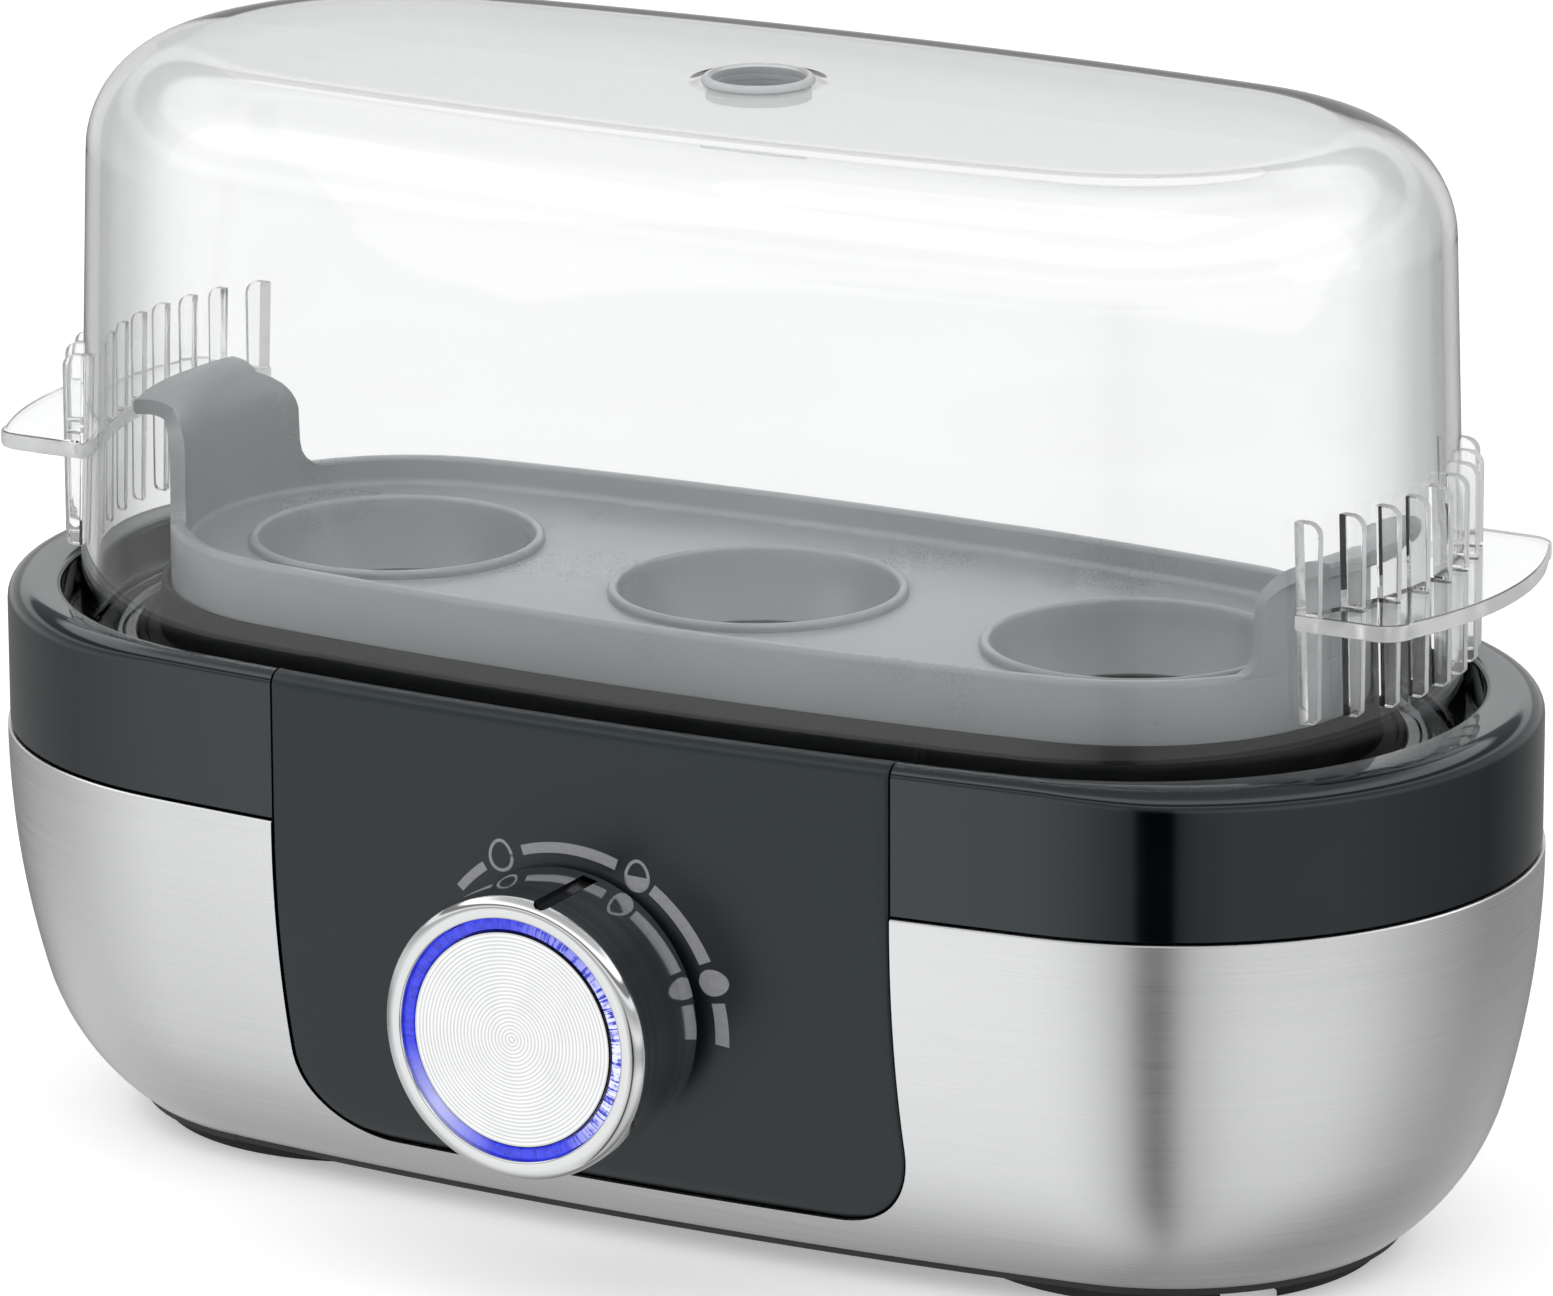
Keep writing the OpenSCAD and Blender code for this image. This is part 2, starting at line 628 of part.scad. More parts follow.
// fins and tab at one end of the lid
module lid_grip() {
  tab_r = tab_half_w - 3;
  bulge = 4;
  arc_r = (tab_r * tab_r + bulge * bulge) / (2 * bulge);
  wall_in = lid_end_r - lid_t - 0.2;
  difference() {
    union() {
      translate([0, 0, tab_z - tab_t]) linear_extrude(tab_t) intersection() {
        translate([tab_reach - arc_r, 0]) circle(r = arc_r, $fn = 240);
        union() {
          translate([inner_a + 8, -tab_half_w]) square([tab_reach - inner_a - 12, 2 * tab_half_w]);
          translate([inner_a + 8, -tab_half_w + 3.6])
            square([tab_reach - inner_a, 2 * tab_half_w - 7.2]);
        }
      }
      for (i = [0:fin_count - 1]) {
        y = (i - (fin_count - 1) / 2) * fin_pitch;
        x = inner_a + sqrt(pow(lid_end_r - 0.6, 2) - y * y);
        top = tab_z - tab_t / 2 + fin_h / 2;
        translate([0, y + fin_t / 2, 0]) rotate([90, 0, 0]) linear_extrude(fin_t) difference() {
          translate([x - 6, top - fin_h]) square([6 + fin_out, fin_h]);
          for (e = [0, 1]) translate([x + fin_out - 2, e > 0 ? top - 2 : top - fin_h + 2])
            difference() {
              translate([0, e > 0 ? 0 : -3]) square([3, 3]);
              circle(r = 2, $fn = 48);
            }
        }
      }
    }
    oval_slab(inner_a, lid_bow, wall_in, lid_low_z, tab_z + 30);
  }
}

module lid() place() color([0.82, 0.86, 0.88, 0.4]) {
  sh_x = lid_top_r - shoulder_r * cos(lid_draft);
  sh_z = lid_z - shoulder_r;
  oval_sweep(inner_a, lid_bow) {
    polygon([[lid_end_r - $g, lid_low_z + $g], [lid_top_r - $g, lid_low_z + lid_wall_h],
      [lid_top_r - lid_t * cos(lid_draft) + $g, lid_low_z + lid_wall_h - lid_t * sin(lid_draft)],
      [lid_end_r - lid_t + $g, lid_low_z + $g]]);
    arc_bar(sh_x, sh_z, shoulder_r, lid_t, lid_draft, 90);
    bar(sh_x - 1, lid_z - lid_t, 1 + 2 * $g, lid_t);
  }
  difference() {
    union() {
      oval_slab(inner_a, lid_bow, sh_x - 0.5, lid_z - lid_t, lid_z);
      translate([0, 0, lid_z - lid_t]) cylinder(r = vent_r + 1.2, h = lid_t + 0.7);
    }
    translate([0, 0, lid_z - 9]) cylinder(r = vent_r, h = 20);
    translate([0, 0, lid_z - 0.4]) difference() {
      cylinder(r = vent_r + 2.4, h = 9);
      translate([0, 0, -1]) cylinder(r = vent_r + 1.2, h = 20);
    }
  }
  for (s = [0, 1]) rotate([0, 0, 180 * s]) lid_grip();
}

bottom_plate();
feet();
base_screws();
steel_shell();
collar();
front_panel();
bowl();
bowl_seal();
bowl_screws();
standoffs();
heater_tube();
heater_tags();
thermostat();
thermostat_bracket();
thermal_fuse();
control_board();
board_screws();
rotary_switch();
switch_nut();
light_guide();
board_leds();
buzzer();
relay();
capacitor();
terminal_block();
terminal_screws();
heater_leads();
cord_inlet();
switch_shaft();
knob_core();
knob_sleeve();
light_ring();
knob_disc();
pointer_inlay();
egg_tray();
lid();
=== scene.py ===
import json
import math

import bmesh
import bpy
from mathutils import Matrix, Vector


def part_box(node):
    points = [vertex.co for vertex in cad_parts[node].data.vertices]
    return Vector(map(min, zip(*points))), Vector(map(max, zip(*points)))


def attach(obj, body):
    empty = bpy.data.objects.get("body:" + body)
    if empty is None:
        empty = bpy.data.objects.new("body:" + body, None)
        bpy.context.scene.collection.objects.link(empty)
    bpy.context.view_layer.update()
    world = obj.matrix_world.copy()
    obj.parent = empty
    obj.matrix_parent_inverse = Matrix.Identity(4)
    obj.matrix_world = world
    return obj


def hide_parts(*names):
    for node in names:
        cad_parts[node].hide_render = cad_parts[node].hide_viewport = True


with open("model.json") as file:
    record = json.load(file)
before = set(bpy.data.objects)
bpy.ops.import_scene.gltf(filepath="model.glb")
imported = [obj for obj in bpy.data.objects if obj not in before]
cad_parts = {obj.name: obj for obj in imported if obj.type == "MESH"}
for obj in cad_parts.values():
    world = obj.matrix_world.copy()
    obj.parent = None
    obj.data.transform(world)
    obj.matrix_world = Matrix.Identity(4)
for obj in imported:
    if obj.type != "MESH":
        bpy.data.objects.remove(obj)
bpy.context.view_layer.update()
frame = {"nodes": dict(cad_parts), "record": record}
nodes = frame["nodes"]
print("frame loaded")

# millimetres everywhere below; X along the cooker, -Y towards the knob, Z up
yShift = 6.9  # the oval plan's middle lies this far behind the frame's origin
knobZ = 32.4  # height of the knob's axis
scene = bpy.context.scene


def cosine(degrees):
    return math.cos(math.radians(degrees))


def sine(degrees):
    return math.sin(math.radians(degrees))


def towards(azimuth, elevation):
    # direction out from the cooker, azimuth counted from -Y towards +X
    return Vector((sine(azimuth) * cosine(elevation), -cosine(azimuth) * cosine(elevation), sine(elevation)))


# camera place and turn, in degrees and millimetres
view = {"azimuth": 28.596, "elevation": 15.712, "roll": -0.221, "distance": 1213.9,
        "target": (0, yShift, 70), "lens": 240.94, "shiftX": 0.0103, "shiftY": -0.0348}


def makeCamera():
    a, r = view["azimuth"], view["roll"]
    back = towards(a, view["elevation"])
    right = Vector((cosine(a), sine(a), 0))
    up = back.cross(right)
    right, up = right * cosine(r) + up * sine(r), up * cosine(r) - right * sine(r)
    data = bpy.data.cameras.new("camera")
    data.lens = view["lens"]
    data.shift_x, data.shift_y = view["shiftX"], view["shiftY"]
    data.clip_start, data.clip_end = 0.05, 20
    camera = bpy.data.objects.new("camera", data)
    scene.collection.objects.link(camera)
    place = Matrix((right, up, back)).transposed().to_4x4()
    place.translation = (Vector(view["target"]) + back * view["distance"]) / 1000
    camera.matrix_world = place
    scene.camera = camera


makeCamera()


class Wire:
    # a socket that adds its own Math nodes when it is used in an expression
    def __init__(self, shade, socket):
        self.shade, self.socket = shade, socket

    def math(self, operation, *others):
        return self.shade.maths(operation, self, *others)

    def __add__(self, other):
        return self.math("ADD", other)

    def __sub__(self, other):
        return self.math("SUBTRACT", other)

    def __rsub__(self, other):
        return self.shade.maths("SUBTRACT", other, self)

    def __mul__(self, other):
        return self.math("MULTIPLY", other)

    def __truediv__(self, other):
        return self.math("DIVIDE", other)

    def __rtruediv__(self, other):
        return self.shade.maths("DIVIDE", other, self)

    def __gt__(self, other):
        return self.math("GREATER_THAN", other)

    def __lt__(self, other):
        return self.math("LESS_THAN", other)

    __radd__ = __add__
    __rmul__ = __mul__


class Shade:
    # one node tree, filled through node() and a few short forms of it
    def __init__(self, tree):
        self.tree = tree
        self.tree.nodes.clear()

    def node(self, kind, settings=None, values=None, out=0):
        made = self.tree.nodes.new(kind)
        for key, value in (settings or {}).items():
            if key == "stops":
                ramp = made.color_ramp
                ramp.elements.remove(ramp.elements[1])
                ramp.elements[0].position = value[0][0]
                for position, shade in value[1:]:
                    ramp.elements.new(position).color = (*shade, 1)
                ramp.elements[0].color = (*value[0][1], 1)
            else:
                setattr(made, key, value)
        for key, value in (values or {}).items():
            if isinstance(value, Wire):
                self.tree.links.new(value.socket, made.inputs[key])
            else:
                made.inputs[key].default_value = value
        return Wire(self, made.outputs[out]) if len(made.outputs) else None

    def maths(self, operation, *values):
        return self.node("ShaderNodeMath", {"operation": operation}, dict(enumerate(values)))

    def vector(self, operation, *values, out=0):
        return self.node("ShaderNodeVectorMath", {"operation": operation}, dict(enumerate(values)), out)

    def place(self, scale=(1, 1, 1), offset=(0, 0, 0)):
        # object coordinates in metres, moved and then scaled
        here = self.node("ShaderNodeTexCoord", out="Object")
        return self.vector("MULTIPLY", self.vector("ADD", here, offset), scale)

    def aroundKnob(self):
        # place measured from the knob's axis
        return self.place((1, 0, 1), (0, 0, -knobZ / 1000))

    def noise(self, place, scale=1.0, detail=2.0, rough=0.5):
        return self.node("ShaderNodeTexNoise", None,
                         {"Vector": place, "Scale": scale, "Detail": detail, "Roughness": rough})

    def span(self, value, low, high, toLow, toHigh):
        return self.node("ShaderNodeMapRange", None, {0: value, 1: low, 2: high, 3: toLow, 4: toHigh})

    def blend(self, factor, a, b):
        return self.node("ShaderNodeMix", {"data_type": "FLOAT"}, {0: factor, 2: a, 3: b})

    def colours(self, factor, a, b):
        return self.node("ShaderNodeMix", {"data_type": "RGBA"}, {0: factor, 6: rgba(a), 7: rgba(b)}, out=2)

    def bump(self, height, strength, distance):
        return self.node("ShaderNodeBump", None,
                         {"Height": height, "Strength": strength, "Distance": distance})

    def ray(self, kind):
        return self.node("ShaderNodeLightPath", out=kind)

    def parts(self, vector):
        made = self.node("ShaderNodeSeparateXYZ", None, {0: vector})
        return [Wire(self, made.socket.node.outputs[i]) for i in range(3)]

    def finish(self, **sockets):
        values = {"IOR": 1.5}
        for key, value in sockets.items():
            values[socketNames.get(key, key)] = rgba(value) if key in ("base", "glow", "tint") else value
        return self.node("ShaderNodeBsdfPrincipled", None, values)

    def output(self, shader):
        self.node("ShaderNodeOutputMaterial", None, {"Surface": shader})


socketNames = {"base": "Base Color", "metal": "Metallic", "rough": "Roughness", "normal": "Normal",
               "coat": "Coat Weight", "coatRough": "Coat Roughness", "ior": "IOR",
               "clear": "Transmission Weight", "glow": "Emission Color",
               "glowStrength": "Emission Strength", "along": "Anisotropic", "turned": "Anisotropic Rotation",
               "specular": "Specular IOR Level", "tint": "Specular Tint"}


def rgba(value):
    return (*value, 1.0) if isinstance(value, tuple) and len(value) == 3 else value


def material(name):
    made = bpy.data.materials.new(name)
    made.use_nodes = True
    return made, Shade(made.node_tree)


steelLook = {"light": (0.74, 0.745, 0.75), "dark": (0.68, 0.686, 0.692), "rough": (0.25, 0.33),
             "streakLength": 30, "streaksPerMetre": 6500}


def brushedSteel(name, look):
    made, s = material(name)
    long, thin = look["streakLength"], look["streaksPerMetre"]
    fine = s.noise(s.place((long, long, thin)), detail=3, rough=0.6)
    broad = s.noise(s.place((long / 2, long / 2, thin / 4)), detail=2)
    cloud = s.noise(s.place(), scale=14, detail=1)
    mark = fine * 0.75 + broad * 0.25
    base = s.colours(s.span(mark, 0.35, 0.65, 0, 1), look["dark"], look["light"])
    rough = s.span(mark + cloud * 0.25, 0.4, 0.85, *look["rough"])
    s.output(s.finish(base=base, metal=1.0, rough=rough, along=0.75, turned=0.25,
                      normal=s.bump(mark, 0.08, 0.00004)))
    return made


def mouldedPlastic(name, base, rough, grain=0.06, grainScale=2600, coat=0.0, variation=0.12, ior=1.5,
                   tint=(1, 1, 1)):
    # base colour with faint clouding, fine moulded grain and slight wear in the gloss
    made, s = material(name)
    cloud = s.noise(s.place(), scale=38, detail=3)
    grainNoise = s.noise(s.place(), scale=grainScale, detail=1)
    paler = tuple(min(1, c * (1 + variation) + 0.002) for c in base)
    colour = s.colours(s.span(cloud, 0.35, 0.65, 0, 1), base, paler)
    roughness = s.span(cloud + grainNoise * 0.3, 0.4, 0.9, rough * 0.85, min(1, rough * 1.2))
    s.output(s.finish(base=colour, rough=roughness, coat=coat, coatRough=0.05, ior=ior, tint=tint,
                      normal=s.bump(grainNoise, grain, 0.00004)))
    return made


def metal(name, base, rough, grain=0.05):
    made, s = material(name)
    scuff = s.noise(s.place((900, 900, 2600)), detail=2)
    cloud = s.noise(s.place(), scale=120, detail=2)
    darker = tuple(c * 0.82 for c in base)
    s.output(s.finish(base=s.colours(s.span(cloud, 0.3, 0.7, 0, 1), darker, base), metal=1.0,
                      rough=s.span(scuff, 0.3, 0.7, rough * 0.7, rough * 1.3),
                      normal=s.bump(scuff, grain, 0.00003)))
    return made


# the grey the plastic turns to where it is seen edge on is painted shade along its edges; a little of the
# same grey is also clouded in at random as haze
lidLook = {"base": (0.996, 0.999, 0.999), "hazeAndEdgeShade": (0.4, 0.415, 0.42), "rough": 0.004, "ior": 1.45,
           "shine": 0.25, "clear": 1.0}
gripLook = {"base": (0.99, 0.995, 0.995), "hazeAndEdgeShade": (0.88, 0.89, 0.895), "rough": 0.02, "ior": 1.45,
            "shine": 0.5, "clear": 0.97}
frostLook = {"base": (0.93, 0.935, 0.94), "hazeAndEdgeShade": (0.9, 0.905, 0.91), "rough": 0.3, "ior": 1.49,
             "shine": 0.5, "clear": 0.6}


def clearPlastic(name, look):
    made, s = material(name)
    cloud = s.noise(s.place(), scale=26, detail=2)
    smear = s.noise(s.place((40, 40, 12)), detail=3)
    edge = s.node("ShaderNodeLayerWeight", None, {"Blend": 0.5}, out="Facing")
    # painted shade: the colour turns grey where the wall is seen edge on
    tint = s.colours(s.span(edge, 0.25, 1.0, 0, 1), look["base"], look["hazeAndEdgeShade"])
    s.output(s.finish(base=s.colours(s.span(cloud, 0.3, 0.7, 0.0, 0.02), tint, look["hazeAndEdgeShade"]),
                      rough=s.span(smear, 0.45, 0.75, look["rough"], look["rough"] * 4),
                      clear=look["clear"], ior=look["ior"], specular=look["shine"],
                      normal=s.bump(cloud, 0.03, 0.0004)))
    return made


# the painted shadow of the gap lies between two radii of the disc, and the bezel's painted shade ends over a
# depth from the front
knobLook = {"disc": (0.93, 0.935, 0.94), "groove": (0.66, 0.665, 0.67), "ringPitch": 0.45,
            "gapShadowRadii": (12.56, 12.62), "paintedGapShadow": (0.01, 0.01, 0.012),
            "chrome": (0.86, 0.87, 0.88), "chromeDark": (0.66, 0.67, 0.68),
            "bezel": (0.66, 0.665, 0.67), "bezelShadeDepth": (0.8, 2.0),
            "blueDeep": (0.012, 0.02, 0.5), "blue": (0.04, 0.055, 0.85), "blueHot": (0.85, 0.88, 1.0)}


def spunDisc(name, look):
    made, s = material(name)
    radius = s.vector("LENGTH", s.aroundKnob(), out="Value")
    grooves = (radius * (2000 * math.pi / look["ringPitch"])).math("SINE")
    scratch = s.noise(s.place((300, 300, 300)), detail=2)
    face = s.colours(s.span(grooves, -0.9, 0.3, 0, 1), look["groove"], look["disc"])
    # painted shadow: a dark ring at the disc's edge stands in for the shade in the gap beside the lit ring
    inner, outer = look["gapShadowRadii"]
    face = s.colours(s.span(radius, inner / 1000, outer / 1000, 0, 1), face, look["paintedGapShadow"])
    s.output(s.finish(base=face, metal=1.0, rough=s.span(scratch, 0.3, 0.7, 0.26, 0.34),
                      normal=s.bump(grooves, 0.2, 0.00005)))
    return made


def chromeSleeve(name, look):
    made, s = material(name)
    lines = s.noise(s.place((30, 2600, 30)), detail=2)
    bands = s.noise(s.place((12, 520, 12)), detail=3, rough=0.7)
    _, y, _ = s.parts(s.place())
    # painted shade: the front bezel is painted darker than the chrome side, fading out over a depth from the
    # front
    start, stop = (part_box("knob_sleeve")[0][1] + depth / 1000 for depth in look["bezelShadeDepth"])
    side = s.colours(s.span(bands, 0.42, 0.6, 0, 1), look["chromeDark"], look["chrome"])
    s.output(s.finish(base=s.colours(s.span(y, start, stop, 0, 1), look["bezel"], side), metal=1.0,
                      rough=s.span(lines, 0.35, 0.7, 0.04, 0.13), normal=s.bump(lines, 0.06, 0.00003)))
    return made


def litRing(name, look):
    # blue diffuser with the bright flecks of its lamps
    made, s = material(name)
    x, _, z = s.parts(s.aroundKnob())
    turn = x.math("ARCTAN2", z)

    def near(middle, inner, outer):
        # 1 round a direction in radians clockwise from the top, falling to 0
        return s.span((turn - middle).math("ABSOLUTE"), inner, outer, 1, 0)

    spokes = s.node("ShaderNodeTexNoise", {"noise_dimensions": "1D"},
                    {"W": turn, "Scale": 34.0, "Detail": 3.0, "Roughness": 0.7})
    cell = s.noise(s.place((1100, 1100, 1100)), detail=2)
    fleck = s.span(spokes * 0.55 + cell * 0.45, 0.43, 0.52, 0, 1)
    hot = fleck * near(1.65, 0.4, 0.95) + fleck * near(0.6, 0.2, 0.6) * 0.3 + near(-2.35, 0.05, 0.6) * 0.5
    tone = s.colours(s.span(spokes * 0.5 + cell * 0.5, 0.38, 0.6, 0, 1), look["blueDeep"], look["blue"])
    s.output(s.finish(base=(0.01, 0.01, 0.08), rough=0.3, coat=0.15,
                      glow=s.colours(hot, tone, look["blueHot"]), glowStrength=1.0))
    return made


coolTint = (0.84, 0.94, 1.0)
# for each slot the material's name, base colour, roughness and what else is set
plastics = {
    "gloss_black": ("glossBlack", (0.001, 0.0022, 0.003), 0.05,
                    {"grain": 0.006, "ior": 1.62, "tint": coolTint}),
    "well_black": ("wellBlack", (0.004, 0.0044, 0.0046), 0.55, {"grain": 0.05, "ior": 1.2}),
    "panel_black": ("panelBlack", (0.006, 0.009, 0.0105), 0.34,
                    {"grain": 0.02, "grainScale": 4500, "tint": coolTint}),
    "black_base": ("baseBlack", (0.012, 0.012, 0.013), 0.5, {"grain": 0.12}),
    "foot_rubber": ("footRubber", (0.012, 0.012, 0.012), 0.75, {"grain": 0.2}),
    "tray_grey": ("trayGrey", (0.175, 0.186, 0.192), 0.3, {"grain": 0.012, "grainScale": 4000}),
    "inlay_black": ("inlayBlack", (0.008, 0.008, 0.009), 0.1, {"grain": 0.0, "coat": 0.5}),
    "bowl_coat": ("bowlCoat", (0.02, 0.02, 0.021), 0.35, {"grain": 0.25, "grainScale": 1500}),
    "seal_silicone": ("sealSilicone", (0.32, 0.055, 0.04), 0.6, {"grain": 0.1}),
    "dark_phenolic": ("darkPhenolic", (0.03, 0.03, 0.035), 0.45, {}),
    "fuse_sleeve": ("fuseSleeve", (0.6, 0.57, 0.5), 0.85, {"grain": 0.5, "grainScale": 1800}),
    "board_green": ("boardGreen", (0.02, 0.12, 0.05), 0.3, {"coat": 0.3}),
    "switch_blue": ("switchBlue", (0.05, 0.09, 0.17), 0.4, {}),
    "clear_guide": ("clearGuide", (0.7, 0.75, 0.85), 0.2, {"coat": 0.4}),
    "led_body": ("ledBody", (0.7, 0.75, 0.85), 0.15, {"coat": 0.5}),
    "relay_blue": ("relayBlue", (0.03, 0.1, 0.28), 0.25, {}),
    "cap_sleeve": ("capSleeve", (0.03, 0.035, 0.045), 0.25, {}),
    "block_white": ("blockWhite", (0.65, 0.63, 0.56), 0.4, {}),
    "lead_red": ("leadRed", (0.32, 0.02, 0.02), 0.5, {}),
    "core_white": ("coreWhite", (0.75, 0.76, 0.77), 0.3, {}),
}
looks = {
    "tub_steel": brushedSteel("tubSteel", steelLook),
    "lid_clear": clearPlastic("lidClear", lidLook),
    "knob_chrome": chromeSleeve("knobChrome", knobLook),
    "disc_aluminium": spunDisc("knobDisc", knobLook),
    "ring_blue": litRing("ringBlue", knobLook),
    "zinc_steel": metal("zincSteel", (0.60, 0.61, 0.62), 0.3),
    "brass": metal("brass", (0.62, 0.43, 0.17), 0.3),
    "heater_sheath": metal("heaterSheath", (0.42, 0.41, 0.40), 0.45, grain=0.15),
}
for slot, (name, base, rough, more) in plastics.items():
    looks[slot] = mouldedPlastic(name, base, rough, **more)
slotOf = {row["node"]: row["material_slot"] for row in frame["record"]["subparts"]}
for name, obj in nodes.items():
    obj.data.materials.clear()
    obj.data.materials.append(looks.get(slotOf.get(name), looks["black_base"]))
print("finishes made")


class Oval:
    # plan of four tangent arcs; a station is (centre x, centre y, extra radius, angle)
    def __init__(self, a, bow):
        self.a, self.bow = a, bow
        self.c = (a * a - bow * bow) / (2 * bow)
        self.phi = math.atan2(a, self.c)

    def stations(self, ends=56, sides=64):
        quarter, phi = math.pi / 2, self.phi
        made = []
        for centre, extra, start, stop, count in (
                ((self.a, 0), 0, phi - quarter, quarter - phi, ends),
                ((0, -self.c), self.c + self.bow, quarter - phi, quarter + phi, sides),
                ((-self.a, 0), 0, quarter + phi, 3 * quarter - phi, ends),
                ((0, self.c), self.c + self.bow, 3 * quarter - phi, 3 * quarter + phi, sides)):
            for i in range(count):
                made.append((*centre, extra, start + (stop - start) * i / count))
        return made

    def ring(self, r, z):
        return [(cx + (extra + r) * math.cos(t), cy + (extra + r) * math.sin(t), z)
                for cx, cy, extra, t in self.stations()]

    def frontY(self, r, x):
        # y of the control side at x
        big = self.c + self.bow + r
        return self.c - math.sqrt(big * big - x * x)


def arc(cx, cz, r, start, stop, count):
    turns = [start + (stop - start) * i / count for i in range(count + 1)]
    return [(cx + r * cosine(a), cz + r * sine(a)) for a in turns]


def loft(rings, closed=False):
    # quads between loops of equal length; the last loop meets the first, or both ends get a cap
    verts = [p for ring in rings for p in ring]
    n, faces = len(rings[0]), []
    for k in range(len(rings) if closed else len(rings) - 1):
        a, b = k * n, (k + 1) % len(rings) * n
        for i in range(n):
            j = (i + 1) % n
            faces.append((a + i, a + j, b + j, b + i))
    if not closed:
        faces.append(tuple(range(n - 1, -1, -1)))
        faces.append(tuple((len(rings) - 1) * n + i for i in range(n)))
    return verts, faces


def lathe(profile, turns, axis="y", centre=(0, 0, 0)):
    # rings of a profile of (radius, along) turned round an axis
    cx, cy, cz = centre
    angles = [2 * math.pi * i / turns for i in range(turns)]
    if axis == "y":
        return [[(cx + r * math.sin(t), cy + along, cz + r * math.cos(t)) for t in angles]
                for r, along in profile]
    return [[(cx + r * math.cos(t), cy + r * math.sin(t), cz + along) for t in angles]
            for r, along in profile]


def rawMesh(name, verts, faces):
    mesh = bpy.data.meshes.new(name)
    mesh.from_pydata([(x / 1000, (y + yShift) / 1000, z / 1000) for x, y, z in verts], [], faces)
    work = bmesh.new()
    work.from_mesh(mesh)
    bmesh.ops.remove_doubles(work, verts=work.verts, dist=1e-7)
    bmesh.ops.recalc_face_normals(work, faces=work.faces)
    work.to_mesh(mesh)
    work.free()
    obj = bpy.data.objects.new(name, mesh)
    scene.collection.objects.link(obj)
    return obj


def solid(name, rings, closed=False):
    return rawMesh(name, *loft(rings, closed))


def rod(r, start, stop, turns, axis, centre):
    return solid("cutter", lathe([(r, start), (r, stop)], turns, axis, centre))


def box(low, high):
    (x0, y0, z0), (x1, y1, z1) = low, high
    verts = [(x, y, z) for x in (x0, x1) for y in (y0, y1) for z in (z0, z1)]
    return rawMesh("cutter", verts, [(0, 1, 3, 2), (4, 6, 7, 5), (0, 4, 5, 1), (2, 3, 7, 6),
                                     (0, 2, 6, 4), (1, 5, 7, 3)])


def rounded(low, high, steps):
    # levels from low to high with the insets that round their edges
    return [(low + d, inset) for d, inset in steps] + [(high - d, inset) for d, inset in reversed(steps)]


def modified(obj, kind, **settings):
    # adds one modifier, applies it and keeps the result as the mesh
    change = obj.modifiers.new(kind, kind)
    for key, value in settings.items():
        setattr(change, key, value)
    graph = bpy.context.evaluated_depsgraph_get()
    mesh = bpy.data.meshes.new_from_object(obj.evaluated_get(graph))
    obj.modifiers.clear()
    old, obj.data = obj.data, mesh
    mesh.name = old.name
    bpy.data.meshes.remove(old)


def joinSolids(obj, other, operation):
    modified(obj, "BOOLEAN", operation=operation, object=other, solver="EXACT", material_mode="TRANSFER")
    mesh = other.data
    bpy.data.objects.remove(other)
    bpy.data.meshes.remove(mesh)


def settle(obj, body, slotName, stands=(), sharp=32):
    # the slot's finish goes on where the mesh has none of its own
    if not any(obj.data.materials):
        obj.data.materials.clear()
        obj.data.materials.append(looks[slotName])
        for face in obj.data.polygons:
            face.material_index = 0
    obj.data.shade_smooth()
    obj.data.set_sharp_from_angle(angle=math.radians(sharp))
    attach(obj, body)
    if stands:
        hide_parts(*stands)


bodyOval = Oval(53.6, 2.8)
innerOval = Oval(48.6, 2.6)

# the tub's side is two arcs: sideR over the first sideRun of its height, then tuckR
tub = {"endR": 43.0, "top": 48.4, "bottom": 2.9, "sheet": 0.6, "sideR": 110, "sideRun": 29.5, "tuckR": 30,
       "panelHalf": 40.15, "panelLow": 8.8, "panelCorner": 11, "seam": 0.25}
sideTurn = math.degrees(math.asin(tub["sideRun"] / tub["sideR"]))
tuckRun = tub["top"] - tub["sideRun"] - tub["bottom"]
tuckTurn = math.degrees(math.asin(sine(sideTurn) + tuckRun / tub["tuckR"]))


def sideProfile(inset, first=14, second=16):
    # side of the tub from its top edge down, inset from the outer face
    x, z, step = tub["endR"] - tub["sideR"], tub["top"], tub["sideR"] - tub["tuckR"]
    upper = arc(x, z, tub["sideR"] - inset, 0, -sideTurn, first)
    lower = arc(x + step * cosine(sideTurn), z - step * sine(sideTurn), tub["tuckR"] - inset,
                -sideTurn, -tuckTurn, second)
    return upper + lower[1:]


def panelWidth(z, grow=0.0):
    # half width of the panel at a height, narrowing into its rounded lower corners
    w, r, low = tub["panelHalf"] + grow, tub["panelCorner"] + grow, tub["panelLow"] - grow
    if z >= low + r:
        return w
    return w - r + math.sqrt(max(0.0, r * r - (low + r - z) ** 2))


def panelCutter():
    seam = tub["seam"]
    low, r = tub["panelLow"] - seam, tub["panelCorner"] + seam
    rows = [low + r * (1 - cosine(a)) for a in range(0, 91, 5)] + [70]
    loop = [(panelWidth(z, seam), z) for z in rows]
    loop = loop + [(-x, z) for x, z in reversed(loop)]
    return solid("cutter", [[(x, y, z) for x, z in loop] for y in (-60, -20)])


def makeTub():
    outer, inner, chamfer = sideProfile(0), sideProfile(tub["sheet"]), 0.15
    r, z = outer[0]
    loop = [(r - chamfer, z), (r, z - chamfer)] + outer[1:] + inner[::-1]
    obj = solid("steelTub", [bodyOval.ring(r, z) for r, z in loop], closed=True)
    joinSolids(obj, panelCutter(), "DIFFERENCE")
    # hole at the back for the lead
    joinSolids(obj, rod(7.2, 30, 60, 64, "y", (0, 0, 20)), "DIFFERENCE")
    settle(obj, "base", "tub_steel", ["steel_shell"])


makeTub()

